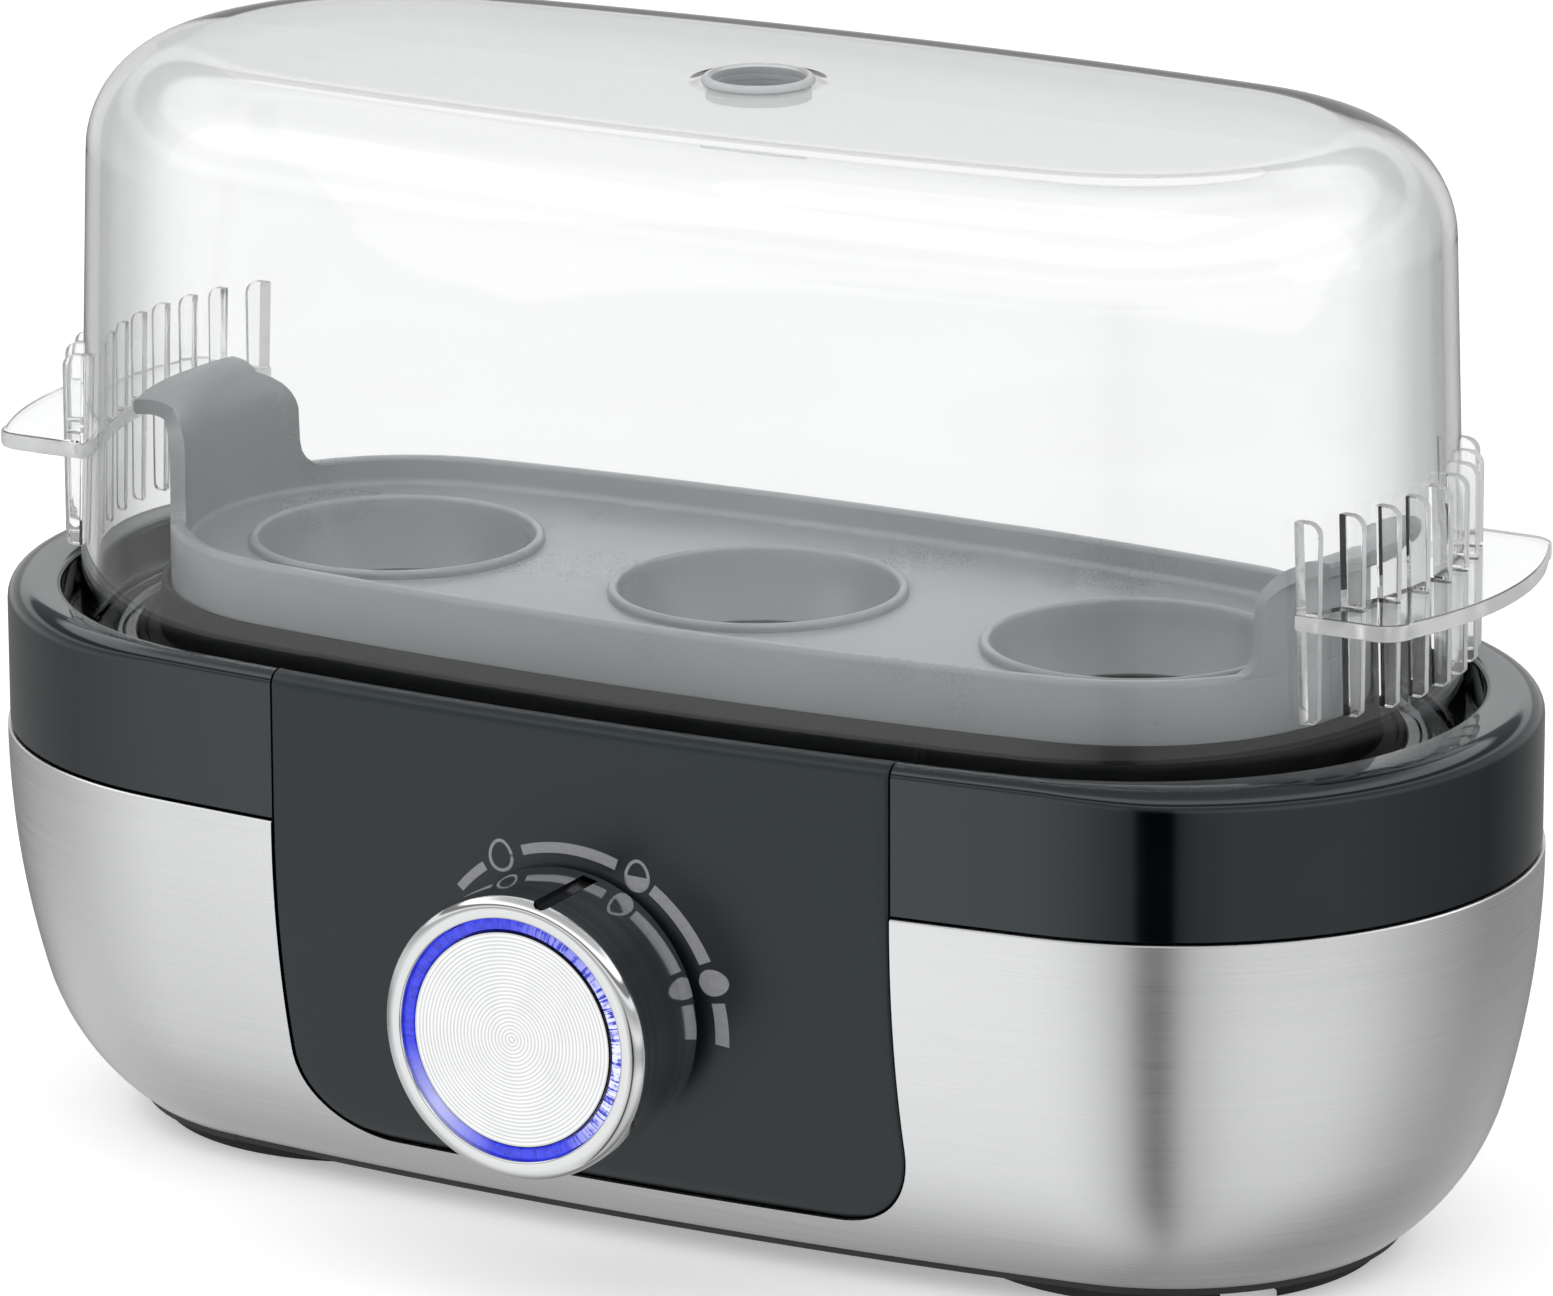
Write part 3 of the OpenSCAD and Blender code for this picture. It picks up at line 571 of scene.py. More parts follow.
# black band with its rolled rim, and the ledge inside it that carries the lid
rim = {"bandR": 42.7, "wall": 2.0, "low": 48.65, "top": 66.3, "round": 2.6, "mouthR": 40.4, "ledge": 61.0,
       "ledgeLow": 58.6, "upstandR": 28.6, "upstandTop": 66.7, "upstandWall": 0.95, "innerRound": 0.8,
       "ridges": (33.4, 30.9)}


def wallPoint(station, r):
    # point on an oval's ring and the direction out of it
    x, y, extra, turn = station
    out = Vector((math.cos(turn), math.sin(turn)))
    return Vector((x, y)) + out * (extra + r), out


def rimRings():
    # rings over the rim from the outer wall to the mouth, both roundings fitted to the land
    rings = []
    steps = [(True, a) for a in range(0, 91, 9)] + [(False, a) for a in range(90, -1, -15)]
    pairs = [(wallPoint(outer, rim["bandR"]), wallPoint(inner, rim["mouthR"]))
             for outer, inner in zip(bodyOval.stations(), innerOval.stations())]
    for outside, a in steps:
        ring = []
        for (wall, out), (mouth, inwards) in pairs:
            land = (wall - mouth).dot(out)
            if outside:
                r = min(rim["round"], 0.62 * land)
                p = wall - out * r * (1 - cosine(a))
            else:
                r = min(rim["innerRound"], 0.3 * land)
                p = mouth + inwards * r * (1 - cosine(a))
            ring.append((p.x, p.y, rim["top"] - r * (1 - sine(a))))
        rings.append(ring)
    return rings


def makeBand():
    r, w, base, low = rim["bandR"], rim["wall"], rim["low"], rim["ledge"]
    u, thick, top, mouth = rim["upstandR"], rim["upstandWall"], rim["upstandTop"], rim["mouthR"]
    rings = [bodyOval.ring(x, z) for x, z in ((r - w, base), (r - 0.15, base), (r, base + 0.15))]
    rings += rimRings()
    # ledge with two beads, then the upstand round the foot of the tray
    bead = ((0.7, 0), (0.45, 0.32), (0.2, 0.45), (-0.2, 0.45), (-0.45, 0.32), (-0.7, 0))
    upstand = ((0.6, low), (0.2, low + 0.2), (0, low + 0.6), (0, top - 0.4), (-0.15, top - 0.1), (-0.4, top),
               (0.25 - thick, top - 0.05), (-thick, top - 0.3), (-thick, rim["ledgeLow"]))
    loop = [(mouth, low + 0.4), (mouth - 0.12, low + 0.12), (mouth - 0.4, low)]
    loop += [(ridge + x, low + z) for ridge in rim["ridges"] for x, z in bead]
    loop += [(u + x, z) for x, z in upstand]
    rings += [innerOval.ring(x, z) for x, z in loop]
    rings.append(bodyOval.ring(r - w, rim["ledgeLow"]))
    obj = solid("blackBand", rings, closed=True)
    # room for the control panel
    half = tub["panelHalf"] + tub["seam"]
    joinSolids(obj, box((-half, -70, 40), (half, -41.6, low)), "DIFFERENCE")
    joinSolids(obj, box((-half, -70, low), (half, -36, 80)), "DIFFERENCE")
    # the upstand and the ledge beside it are dull, the rest polished
    obj.data.materials.clear()
    for look in ("gloss_black", "well_black"):
        obj.data.materials.append(looks[look])
    for face in obj.data.polygons:
        x, y = abs(face.center.x) * 1000 - innerOval.a, face.center.y * 1000 - yShift
        near = math.hypot(max(x, 0), y) < u + 2.8 and face.center.z * 1000 > low - 3
        face.material_index = int(near)
    settle(obj, "base", "gloss_black", ["collar"])


makeBand()

panel = {"r": 42.9, "thick": 2.2, "edge": 0.35, "padR": 15.2, "outerRound": 1.6, "mouthRound": 0.75}


def panelRows():
    # pairs of outer and back points (oval, radius, z) from the mouth down to the lower edge
    rows = []
    top, ro, ri = rim["top"], panel["outerRound"], panel["mouthRound"]
    for z in (rim["ledge"] + 0.3, rim["ledge"] + 2.5, top - ri):
        rows.append(((innerOval, rim["mouthR"], z), (innerOval, rim["mouthR"] + 0.4, z)))
    for a in range(15, 91, 15):
        rows.append(((innerOval, rim["mouthR"] + ri * (1 - cosine(a)), top - ri * (1 - sine(a))),
                     (innerOval, rim["mouthR"] + 0.9, top - 1.6)))
    for a in range(90, -1, -9):
        rows.append(((bodyOval, panel["r"] - ro * (1 - cosine(a)), top - ro * (1 - sine(a))),
                     (bodyOval, panel["r"] - 1.3, top - 1.9)))
    for i in range(1, 9):
        z = top - ro + (tub["top"] - top + ro) * i / 8
        rows.append(((bodyOval, panel["r"], z), (bodyOval, panel["r"] - panel["thick"], min(z, 60.6))))
    inset = tub["endR"] - panel["r"]
    outer, back = sideProfile(inset, 20, 16), sideProfile(inset + panel["thick"], 20, 16)
    low, e = tub["panelLow"], panel["edge"]
    for (r, z), (rb, zb) in list(zip(outer, back))[1:]:
        if z > low + e + 0.05:
            rows.append(((bodyOval, r, z), (bodyOval, rb, max(zb, low))))
    (_, r, above), (_, rb, _) = rows[-1]
    slope = (outer[-6][0] - outer[-2][0]) / (outer[-6][1] - outer[-2][1])
    for d in (e, e * 0.6, e * 0.3, e * 0.1, 0):
        z = low + d
        rows.append(((bodyOval, r - slope * (above - z), z), (bodyOval, rb, low)))
    return rows


def edgeDepth(x, z):
    # how far the outer face falls away towards the panel's edge
    e = panel["edge"]
    w, r, low = tub["panelHalf"], tub["panelCorner"], tub["panelLow"]
    ax = abs(x)
    if z < low + r and ax > w - r:
        d = r - math.hypot(ax - (w - r), low + r - z)
    else:
        d = min(w - ax, z - low)
    if d >= e:
        return 0.0
    return e - math.sqrt(max(0.0, e * e - (e - d) ** 2))


def makePanel():
    e, n, ramp = panel["edge"], 48, (0, 0.1, 0.3, 0.6, 1)
    rings = []
    for (oval, r, z), (backOval, backR, backZ) in panelRows():
        w = panelWidth(z)
        cols = [-w + e * q for q in ramp]
        cols += [(-w + e) + 2 * (w - e) * i / n for i in range(1, n)]
        cols += [w - e * q for q in reversed(ramp)]
        front = [(x, oval.frontY(r - edgeDepth(x, z), x), z) for x in cols]
        narrow = min(w, panelWidth(max(backZ, tub["panelLow"]))) / w
        back = [(x * narrow, backOval.frontY(backR, x * narrow), backZ) for x in cols]
        rings.append(front + back[::-1])
    settle(solid("controlPanel", rings), "base", "panel_black", ["front_panel"], sharp=40)


makePanel()


def makePad():
    # round seat that the knob turns in front of
    r, y = panel["padR"], -(panel["r"] + bodyOval.bow - 0.3)
    loop = [(5.0, y + 2.0), (5.0, y + 0.2), (5.2, y), (r - 0.5, y), (r - 0.15, y + 0.15), (r, y + 0.5),
            (r, y + 6), (r - 1.8, y + 6), (r - 1.8, y + 2.0)]
    settle(solid("knobSeat", lathe(loop, 128, "y", (0, 0, knobZ)), closed=True), "base", "panel_black")


makePad()

# arcs and eggs stand at degrees clockwise from the top; an egg also has its lean
scale = {"radius": 18.9, "line": (1.05, 1.75), "eggWide": 3.25, "eggTall": 3.9, "outline": 0.38,
         "ink": (0.30, 0.30, 0.315), "proud": 0.03, "under": 0.05, "eggOut": 0.2,
         "arcs": [(-50, -36), (-19, 19), (34.5, 66), (81, 97)],
         "eggs": [(-28, "open", -6), (27.5, "half", 2), (73.5, "full", 82)]}


def panelFrontY(x, z):
    # y of the panel's outer face
    r, points = panel["r"], sideProfile(tub["endR"] - panel["r"], 40, 40)
    for (r0, z0), (r1, z1) in zip(points, points[1:]):
        if z1 <= z <= z0:
            r = r0 + (r1 - r0) * (z0 - z) / (z0 - z1)
            break
    return bodyOval.frontY(r, x)


def patchSolid(grid):
    # thin solid from a grid of (x, z) points laid on the panel
    rings = []
    for row in grid:
        top = [(x, panelFrontY(x, z) - scale["proud"], z) for x, z in row]
        under = [(x, panelFrontY(x, z) + scale["under"], z) for x, z in row]
        rings.append(top + under[::-1])
    return loft(rings)


def onScale(radius, degrees):
    return radius * sine(degrees), knobZ + radius * cosine(degrees)


def eggPoint(centre, lean, angle, grow=0.0, mirror=1):
    # egg outline, narrow end up before it leans to the right; angle from the right, anticlockwise
    c, s = math.cos(angle), math.sin(angle)
    x = mirror * (scale["eggWide"] / 2 + grow) * c * (1 - 0.14 * s)
    z = (scale["eggTall"] / 2 + grow) * s
    return (centre[0] + x * cosine(lean) + z * sine(lean), centre[1] - x * sine(lean) + z * cosine(lean))


def makeScale():
    verts, faces = [], []

    def add(grid):
        v, f = patchSolid(grid)
        start = len(verts)
        verts.extend(v)
        faces.extend(tuple(start + i for i in face) for face in f)

    r, (thin, wide) = scale["radius"], scale["line"]
    first, last = scale["arcs"][0][0], scale["arcs"][-1][1]
    for start, stop in scale["arcs"]:
        count = max(6, int(abs(stop - start) / 2))
        grid = []
        for i in range(count + 1):
            a = start + (stop - start) * i / count
            half = (thin + (wide - thin) * (a - first) / (last - first)) / 2
            grid.append([onScale(r + d, a) for d in (-half, 0, half)])
        add(grid)
    for a, kind, lean in scale["eggs"]:
        centre = onScale(r + scale["eggOut"], a)
        if kind != "full":
            turns = [2 * math.pi * i / 48 for i in range(49)]
            add([[eggPoint(centre, lean, q, -scale["outline"]), eggPoint(centre, lean, q)] for q in turns])
        if kind != "open":
            # rows across the egg from the bottom up to the fill line, as heights from -1 to 1
            low, top = -0.995, 0.98 if kind == "full" else -0.05
            grid = []
            for i in range(15):
                q = math.asin(low + (top - low) * i / 14)
                left, right = (eggPoint(centre, lean, q, -0.02, side) for side in (-1, 1))
                grid.append([left, ((left[0] + right[0]) / 2, (left[1] + right[1]) / 2), right])
            add(grid)
    obj = rawMesh("printedScale", verts, faces)
    made, s = material("scaleInk")
    speck = s.noise(s.place(), scale=1800, detail=2)
    pale = tuple(c * 1.12 for c in scale["ink"])
    s.output(s.finish(base=s.colours(s.span(speck, 0.35, 0.65, 0, 1), scale["ink"], pale),
                      rough=s.span(speck, 0.3, 0.7, 0.4, 0.55)))
    obj.data.materials.append(made)
    settle(obj, "base", "panel_black")


makeScale()
print("body made")

# front and back are y; pointer is in degrees clockwise from the top
knob = {"r": 16.8, "back": -46.1, "front": -59.6, "ringIn": 12.95, "ringOut": 14.15, "discR": 12.75,
        "bezelIn": 14.28, "bezelRound": 1.6, "pointer": 12.6, "grooveHalf": 1.0}


def grooveBlock(name, half, deep, y0, y1, high=20):
    # bar with a rounded floor and a rounded front end, lying along the knob's side
    c, s = cosine(knob["pointer"]), sine(knob["pointer"])
    rings = []
    for y, pinch in ((y0, 0.35), (y0 + 0.25, 0.75), (y0 + 0.7, 1.0), (y1, 1.0)):
        w = half * pinch
        loop = [(-w, high)] + arc(0, deep + w, w, 180, 360, 9) + [(w, high)]
        rings.append([(x * c + z * s, y, knobZ - x * s + z * c) for x, z in loop])
    return solid(name, rings)


def makeKnob():
    f, b, r, q = knob["front"], knob["back"], knob["r"], knob["bezelIn"]

    def turned(name, loop):
        return solid(name, lathe(loop, 192, "y", (0, 0, knobZ)), closed=True)

    # chrome sleeve with a domed bezel
    bezel = knob["bezelRound"]
    loop = [(q, b), (r - 0.25, b), (r, b - 0.25)] + arc(r - bezel, f + bezel, bezel, 0, -90, 14)
    loop += arc(q + 0.3, f + 0.3, 0.3, -90, -180, 6) + [(q, f + 3)]
    sleeve = turned("knobSleeve", loop)
    joinSolids(sleeve, grooveBlock("cutter", knob["grooveHalf"], r - 1.0, f + 0.45, b - 1.2), "DIFFERENCE")
    settle(sleeve, "knob", "knob_chrome", ["knob_sleeve"], sharp=30)
    # lit ring, with a slightly domed face
    low, high, face = knob["ringIn"], knob["ringOut"], f + 0.62
    loop = [(low, f + 3), (low, face)]
    loop += [(low + (high - low) * i / 6, face - 0.1 * math.sin(math.pi * i / 6)) for i in range(7)]
    loop += [(high, f + 3)]
    settle(turned("litRing", loop), "knob", "ring_blue", ["light_ring"])
    # spun disc with a chamfered edge and a centre dimple
    edge, wide = f + 0.42, knob["discR"]
    loop = [(0.001, f + 2.5), (wide, f + 2.5), (wide, edge + 0.45), (wide - 0.04, edge + 0.08)]
    loop += [(wide - 0.16 - (wide - 1.0) * i / 24, edge) for i in range(25)]
    loop += [(0.3, edge + 0.02), (0.001, edge + 0.06)]
    settle(turned("spunDisc", loop), "knob", "disc_aluminium", ["knob_disc"])
    # inlay set a little below the groove's rim
    inlay = grooveBlock("pointerInlay", knob["grooveHalf"] - 0.05, r - 0.92, f + 0.95, b - 1.6, r - 0.42)
    settle(inlay, "knob", "inlay_black", ["pointer_inlay"])


makeKnob()
print("knob made")

# reach and lip are how far out and how high the handles go; cuts are the middles of the notches in the foot
tray = {"endR": 27.4, "wall": 1.8, "low": 45.3, "top": 73.8, "deck": 70.4, "seatR": 16.0, "pitch": 48.8,
        "handleHalf": 14.5, "lip": 86.8, "reach": 81.0, "bend": 3.0, "lipThick": 1.8, "corner": 6.0,
        "fillet": 3.6, "cuts": (-45, 0, 45), "cutHalf": 7}


def makeTray():
    r, t = tray["endR"], tray["wall"]
    top, deck, s = tray["top"], tray["deck"], tray["seatR"]
    loop = [(r - t + 0.3, tray["low"]), (r - 0.3, tray["low"]), (r, tray["low"] + 0.3)]
    loop += arc(r - 0.7, top - 0.7, 0.7, 0, 90, 5)
    loop += arc(r - t + 0.5, top - 0.5, 0.5, 90, 180, 4)
    loop += [(r - t, deck + 0.9)] + arc(r - t - 0.9, deck + 0.9, -0.9, 180, 90, 4)[1:]
    loop += [(r - t - 3, deck), (r - t - 3, deck - t), (r - t, deck - t), (r - t, tray["low"] + 0.3)]
    obj = solid("eggTray", [innerOval.ring(x, z) for x, z in loop], closed=True)
    slab = solid("slab", [innerOval.ring(r - t - 2.5, z) for z in (deck - t, deck)])
    joinSolids(obj, slab, "UNION")
    # three seats, each a raised bead that runs down into a cone
    for x in (-tray["pitch"], 0, tray["pitch"]):
        joinSolids(obj, rod(s + 0.6, 60, 80, 96, "z", (x, 0, 0)), "DIFFERENCE")
        loop = [(s + 1.6, deck - 3), (s + 1.6, deck + 0.4)]
        loop += arc(s + 1.0, deck + 0.4, 0.6, 0, 180, 8)
        loop += [(s + 0.1, deck - 0.6), (s - 0.1, deck - 3), (s - 2.6, deck - 7.2), (s - 2.5, deck - 7.5),
                 (s - 1.3, deck - 7.5), (s + 1.5, deck - 3.3)]
        joinSolids(obj, solid("seat", lathe(loop, 96, "z", (x, 0, 0)), closed=True), "UNION")
    for side in (1, -1):
        joinSolids(obj, handleSolid(side), "UNION")
    for x in tray["cuts"]:
        joinSolids(obj, box((x - tray["cutHalf"], -60, 40), (x + tray["cutHalf"], 60, 52)), "DIFFERENCE")
    settle(obj, "tray", "tray_grey", ["egg_tray"], sharp=35)


def handleWidth(z):
    # half width at a height: flared at the foot, narrower through the rounded corner
    half, corner, f = tray["handleHalf"], tray["corner"], tray["fillet"]
    rise = z - tray["top"] + 0.6
    if rise < f:
        return half + f - math.sqrt(f * f - (f - max(rise, 0)) ** 2)
    drop = min(corner, max(0, z - (tray["lip"] - corner - 1)))
    return max(half - corner + math.sqrt(corner ** 2 - drop ** 2), half - 4.5)


def handleSolid(side):
    # end wall that curls outwards into a lip; columns run round the end arc
    r, t, b, lip = tray["endR"] - 0.05, tray["lipThick"], tray["bend"], tray["lip"]
    out, foot = tray["reach"] - innerOval.a, tray["top"] - 0.6
    heights = [tray["top"] - 3.5, foot] + [foot + tray["fillet"] * q for q in (0.08, 0.2, 0.4, 0.65, 1)]
    heights.append(lip - t - b - 1)

    def face(wall, bend, lipZ, edgeZ):
        return [(wall, z) for z in heights] + arc(r + b, lip - t - b, bend, 180, 90, 7) \
            + [(out - 0.4, lipZ), (out, edgeZ)]

    rings = []
    for pair in zip(face(r, b, lip - t, lip - t + 0.4), face(r - t, b + t, lip, lip - 0.4)):
        w = handleWidth(max(pair[0][1], pair[1][1]))
        lines = []
        for x, z in pair:
            turns = [math.asin(max(-1, min(1, w * (i / 12 - 1) / r))) for i in range(25)]
            lines.append([(side * (innerOval.a + x * math.cos(q)), x * math.sin(q), z) for q in turns])
        rings.append(lines[0] + lines[1][::-1])
    return solid("handle", rings)


makeTray()
print("tray made")

# draft is in degrees; the crown thins the shell under the vent; each end has a tab with fins through it
lid = {"endR": 38.3, "low": 61.3, "top": 131.5, "wall": 1.8, "draft": 1.8, "shoulder": 13.0, "ventR": 5.4,
       "crown": 0.4, "tabTop": 83.4, "tabThick": 2.0, "tabReach": 96.2, "tabHalf": 21.6, "tabBulge": 4.0,
       "tabCorner": 3.4, "fins": 9, "pitch": 5.2, "finThick": 1.2, "finOut": 2.2, "finTall": 23.4,
       "finRound": 1.9}
slant = math.tan(math.radians(lid["draft"]))


def makeLid():
    draft, low, r, t, top, shoulder = (lid[k] for k in ("draft", "low", "endR", "wall", "top", "shoulder"))
    wallTop = top - shoulder * (1 - sine(draft))
    cx, cz = r - (wallTop - low) * slant - shoulder * cosine(draft), top - shoulder
    heights = [low + 0.5 + (wallTop - low - 0.5) * i / 9 for i in range(1, 9)]
    loop = [(r - t + 0.4, low), (r - 0.4, low), (r - 0.12, low + 0.12), (r - 0.02, low + 0.5)]
    loop += [(r - (z - low) * slant, z) for z in heights] + arc(cx, cz, shoulder, draft, 90, 20)
    rings = [innerOval.ring(x, z) for x, z in loop]
    oval = innerOval.ring(cx, 0)

    def topRing(radius, grow, z):
        # between the oval edge of the flat top and a circle round the vent
        ring = []
        for x, y, _ in oval:
            q = math.atan2(y, x)
            ring.append((x + (radius * math.cos(q) - x) * grow, y + (radius * math.sin(q) - y) * grow, z))
        return ring

    def thinned(ring, part, front):
        # the shell grows a little thinner towards the vent, and less so along its front edge
        return [(x, y, z + lid["crown"] * part * (1 - front * min(1, max(0, -y / 12)))) for x, y, z in ring]

    v = lid["ventR"]
    rings += [topRing(v + 2.6, grow, top) for grow in (0.008, 0.35, 0.7)]
    rings += [topRing(q, 1, z) for q, z in (
        (v + 2.9, top), (v + 2.6, top - 0.02), (v + 2.1, top - 0.12), (v + 0.9, top - 0.12),
        (v + 0.8, top - 0.3), (v + 0.8, top - t + lid["crown"]))]
    rings += [thinned(topRing(v + 2.6, grow, top - t), 1, (1 - grow) ** 3)
              for grow in (1, 0.7, 0.4, 0.2, 0.08, 0.008)]
    rings += [thinned(innerOval.ring(x, z), (1 - i / 20) ** 2, 1)
              for i, (x, z) in enumerate(arc(cx, cz, shoulder - t, 90, draft, 20))]
    rings += [innerOval.ring(r - t - (z - low) * slant, z) for z in reversed(heights)]
    rings.append(innerOval.ring(r - t, low + 0.5))
    obj = solid("clearLid", rings, closed=True)
    obj.data.materials.append(looks["lid_clear"])
    finishes = (clearPlastic("lidGrip", gripLook), clearPlastic("lidFrost", frostLook))
    for side in (1, -1):
        joinSolids(obj, gripSolid(side, finishes), "UNION")
    joinSolids(obj, ventSolid(finishes[1]), "UNION")
    settle(obj, "lid", "lid_clear", ["lid"], sharp=38)
    # large faces keep the shading flat
    modified(obj, "WEIGHTED_NORMAL", keep_sharp=True)


def frosted(obj, axis, finishes):
    # clear on the faces across one axis and frosted round the edges
    for finish in finishes:
        obj.data.materials.append(finish)
    for face in obj.data.polygons:
        face.material_index = int(abs(face.normal[axis]) < 0.8)
    return obj


def ventSolid(frost):
    # soft raised ring, greyer and stepped inside the hole
    v, top = lid["ventR"], lid["top"]
    steps = ((1.0, -1.2), (1.2, -0.1), (1.12, 0.3), (0.9, 0.58), (0.6, 0.68), (0.3, 0.6), (0.08, 0.35),
             (0, 0), (0, -0.45), (-0.2, -0.55), (-0.2, -1.0), (0, -1.1), (0, -1.7), (-0.3, -1.8),
             (-0.3, -2.3), (-0.1, -2.4), (-0.1, -3.2), (0.8, -3.2), (0.8, -1.5))
    obj = solid("vent", lathe([(v + x, top + z) for x, z in steps], 96, "z"), closed=True)
    obj.data.materials.append(frost)
    obj.data.materials.append(mouldedPlastic("ventGrey", (0.3, 0.31, 0.32), 0.35, grain=0.4, grainScale=900,
                                             variation=0.8))
    for face in obj.data.polygons:
        away = Vector((face.center.x, face.center.y - yShift / 1000))
        inwards = face.normal.to_2d().dot(away) < 0
        face.material_index = int(inwards and face.center.z * 1000 < top + 0.3)
    return obj


def finSolid(side, y, finishes):
    # one rib standing on the end wall, rounded at its outer corners
    mid, tall, half = lid["tabTop"] - lid["tabThick"] / 2, lid["finTall"] / 2, lid["finThick"] / 2
    low, high, rr = mid - tall, mid + tall, lid["finRound"]
    x0 = innerOval.a + math.sqrt((lid["endR"] - 0.6) ** 2 - y * y)
    out = x0 + lid["finOut"]
    loop = [(x0 - 1.4, low), (out - 1.0, low)] + arc(out - 1.0, low + 1.0, 1.0, -72, 0, 4)
    loop += arc(out - rr, high - rr, rr, 0, 90, 6) + [(x0 - 1.4 - slant * 10, high)]
    rings = [[(side * min(x, out - inset), side * (y + w), min(max(z, low + inset), high - inset))
              for x, z in loop]
             for w, inset in rounded(-half, half, ((0, 0.22), (0.1, 0.06), (0.25, 0)))]
    return frosted(solid("fin", rings), 1, finishes)


def gripSolid(side, finishes):
    # tab plate with a shallow curved outer edge, and the fins through it
    half, bulge, corner = lid["tabHalf"], lid["tabBulge"], lid["tabCorner"]
    t, top, flat, chord = lid["tabThick"], lid["tabTop"], half - corner, half - 3.0
    big = (chord * chord + bulge * bulge) / (2 * bulge)

    def edge(y):
        return lid["tabReach"] - big + math.sqrt(big * big - y * y), y

    def wall(y, inset):
        # place on the lid's end wall
        return innerOval.a + math.sqrt((lid["endR"] - inset) ** 2 - y * y), y

    cornerX = edge(flat)[0] - corner
    start, _ = wall(half, 0)
    outline = [edge(flat * (i / 12 - 1)) for i in range(25)] + arc(cornerX, flat, corner, 15, 90, 5)
    outline += [(start - 2.2, half)] + [wall(half * (1 - i / 12), 1.6) for i in range(1, 24)]
    outline += [(start - 2.2, -half)] + arc(cornerX, -flat, corner, -90, -15, 5)
    middle = Vector((innerOval.a + 36, 0))
    rings = []
    for z, inset in rounded(top - t, top, ((0, 0.35), (0.12, 0.1), (0.4, 0))):
        ring = []
        for place in outline:
            p = Vector(place)
            p -= (p - middle).normalized() * inset
            ring.append((side * p.x, side * p.y, z))
        rings.append(ring)
    grip = frosted(solid("grip", rings), 2, finishes)
    for i in range(lid["fins"]):
        joinSolids(grip, finSolid(side, (i - (lid["fins"] - 1) / 2) * lid["pitch"], finishes), "UNION")
    return grip


makeLid()
print("lid made")

stage = {"floor": (0.9, 0.9, 0.905), "lift": 0.35, "white": 1.0, "clearer": 1.3, "fill": 0.68, "low": 0.78,
         # brightness of what the gloss mirrors, by direction in degrees from -Y towards +X
         "mirror": [(-180, 0.3), (-138, 0.2), (-79, 0.53), (-45, 1.02), (-36, 1.2), (-20, 1.26), (-2, 0.88),
                    (11, 0.52), (14.5, 0.42), (16.5, 0.08), (19, 0.0), (26.5, 0.0), (28.7, 0.3), (34, 0.5),
                    (48, 0.67), (80, 0.66), (110, 0.42), (140, 0.2), (180, 0.3)],
         # what tall soft reflections gain above and below the level of upright gloss
         "beside": [(-180, 0.35), (-110, 0.55), (-75, 0.35), (-55, 0.14), (-40, 0.03), (-16, 0.0),
                    (-6, 0.25), (11, 0.38), (16, 0.12), (25, 0.1), (28, 0.5), (40, 0.45), (60, 0.6),
                    (95, 0.58), (120, 0.36), (180, 0.35)],
         # overhead level by height, and what is dimmed to the left and right of the backdrop
         "overhead": [(0, 0.6), (0.2, 0.6), (0.25, 1.1), (0.33, 1.15), (0.37, 0.3), (0.5, 0.3), (0.55, 1.7),
                      (0.7, 1.7), (0.82, 0.75), (1, 0.6)],
         "dim": (0.4, 0.15), "lit": 2.4}
# azimuth and elevation in degrees, distance and size in metres, power in watts
lamps = {"leftSoftbox": (-50, 35, 0.9, (0.6, 0.8), 1.5), "rightSoftbox": (100, 30, 0.9, (0.5, 0.8), 1.2),
         "topSoftbox": (0, 85, 1.0, (0.9, 0.6), 1.8)}


def beyond(s, x, y):
    # white straight behind the cooker for the camera, darker on either side, pale towards the camera
    c, q = cosine(view["azimuth"]), sine(view["azimuth"])
    length = (x * x + y * y).math("SQRT")
    ahead = (y * c - x * q) / length
    aside = (x * c + y * q) / length
    level = s.span(ahead, 0.72, 0.93, 0, 1) + s.span(ahead, 0.25, 0.5, 0.85, 0)
    dim = s.span(aside, -0.3, 0.3, *stage["dim"])
    seen = dim + (1 - dim) * level
    # surfaces inside the lid are lit evenly through it
    return s.blend(s.ray("Diffuse Depth") > 0.5, seen, stage["lit"])


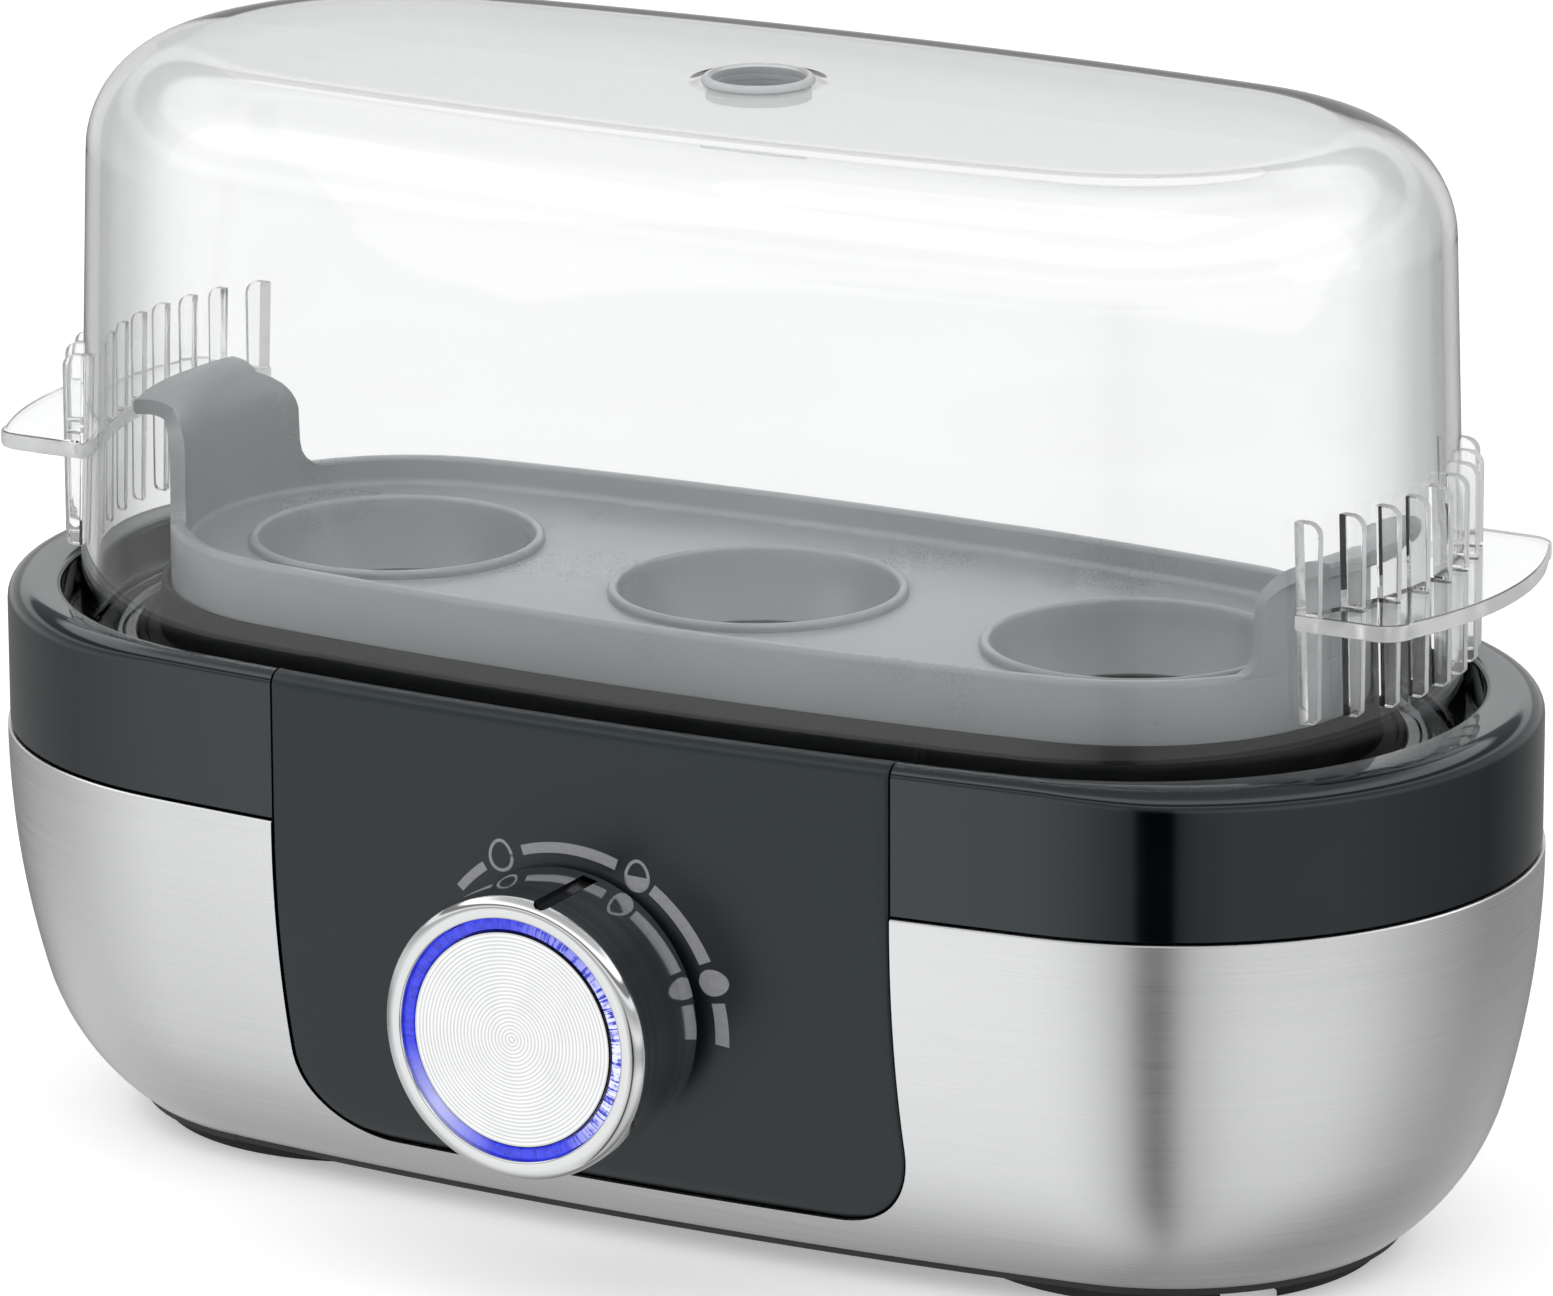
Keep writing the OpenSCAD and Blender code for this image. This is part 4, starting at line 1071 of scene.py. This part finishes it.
def makeFloor():
    # plain pale sheet under the cooker, which gloss finishes look through to the mirror levels
    wide = 4000
    verts = [(-wide, -wide, -0.05), (wide, -wide, -0.05), (wide, wide, -0.05), (-wide, wide, -0.05)]
    floor = rawMesh("floor", verts, [(0, 1, 2, 3)])
    made, s = material("floorWhite")
    x, y, _ = s.parts(s.place((1, 1, 1), (0, -yShift / 1000, 0)))
    seen = s.ray("Is Camera Ray") / stage["clearer"]
    level = seen.math("MAXIMUM", s.ray("Is Transmission Ray") * beyond(s, x, y))
    cloud = s.noise(s.place(), scale=3)
    pale = tuple(c * 0.995 for c in stage["floor"])
    lift = s.colours(level, (0.0, 0.0, 0.0), (stage["lift"] * stage["clearer"],) * 3)
    sheet = s.finish(base=s.colours(s.span(cloud, 0.3, 0.7, 0, 1), pale, stage["floor"]), rough=0.9,
                     specular=0.0, glow=lift, glowStrength=1.0)
    none = s.node("ShaderNodeBsdfTransparent")
    s.output(s.node("ShaderNodeMixShader", None, {0: s.ray("Is Glossy Ray"), 1: sheet, 2: none}))
    floor.data.materials.append(made)


def makeWorld():
    world = bpy.data.worlds.new("studio")
    world.use_nodes = True
    scene.world = world
    s = Shade(world.node_tree)
    x, y, z = s.parts(s.node("ShaderNodeTexCoord", out="Generated"))
    # direction round the vertical, 0 towards -Y and growing towards +X, as a part of the whole turn
    turn = (x.math("ARCTAN2", y * -1.0) * (180 / math.pi) + 180) / 360

    def levels(stops, place, top=2.0):
        ramp = s.node("ShaderNodeValToRGB", {"stops": [(at, (v / top,) * 3) for at, v in stops]}, {0: place})
        return s.node("ShaderNodeRGBToBW", None, {0: ramp}) * top

    def ringed(stops):
        return levels([((a + 180) / 360, v) for a, v in stops], turn)

    off = (z + 0.27).math("ABSOLUTE")
    around = ringed(stage["mirror"]) * s.span(z, -0.95, -0.25, stage["low"], 1) \
        + ringed(stage["beside"]) * s.span(off, 0.05, 0.2, 0, 1) * s.span(z, -0.9, -0.3, 0.3, 1)
    mirror = s.blend(s.span(z, -0.12, 0.12, 0, 1), around, levels(stage["overhead"], z, 3.0))
    level = s.blend(s.ray("Is Glossy Ray"), stage["fill"], mirror)
    level = s.blend(s.ray("Is Transmission Ray"), level, beyond(s, x, y) * stage["white"])
    level = s.blend(s.ray("Is Camera Ray"), level, stage["white"])
    back = s.node("ShaderNodeBackground", None, {"Color": (1, 1, 1, 1), "Strength": level})
    s.node("ShaderNodeOutputWorld", None, {"Surface": back})


def makeLamp(name, azimuth, elevation, distance, size, power):
    back = towards(azimuth, elevation)
    data = bpy.data.lights.new(name, "AREA")
    data.shape = "RECTANGLE"
    data.size, data.size_y = size
    data.energy = power
    obj = bpy.data.objects.new(name, data)
    scene.collection.objects.link(obj)
    obj.location = Vector((0, yShift / 1000, 0.06)) + back * distance
    obj.visible_glossy = False
    obj.rotation_mode = "QUATERNION"
    obj.rotation_quaternion = back.to_track_quat("Z", "Y")


makeFloor()
makeWorld()
for name, values in lamps.items():
    makeLamp(name, *values)
scene.view_settings.view_transform = "Standard"
print("stage made")
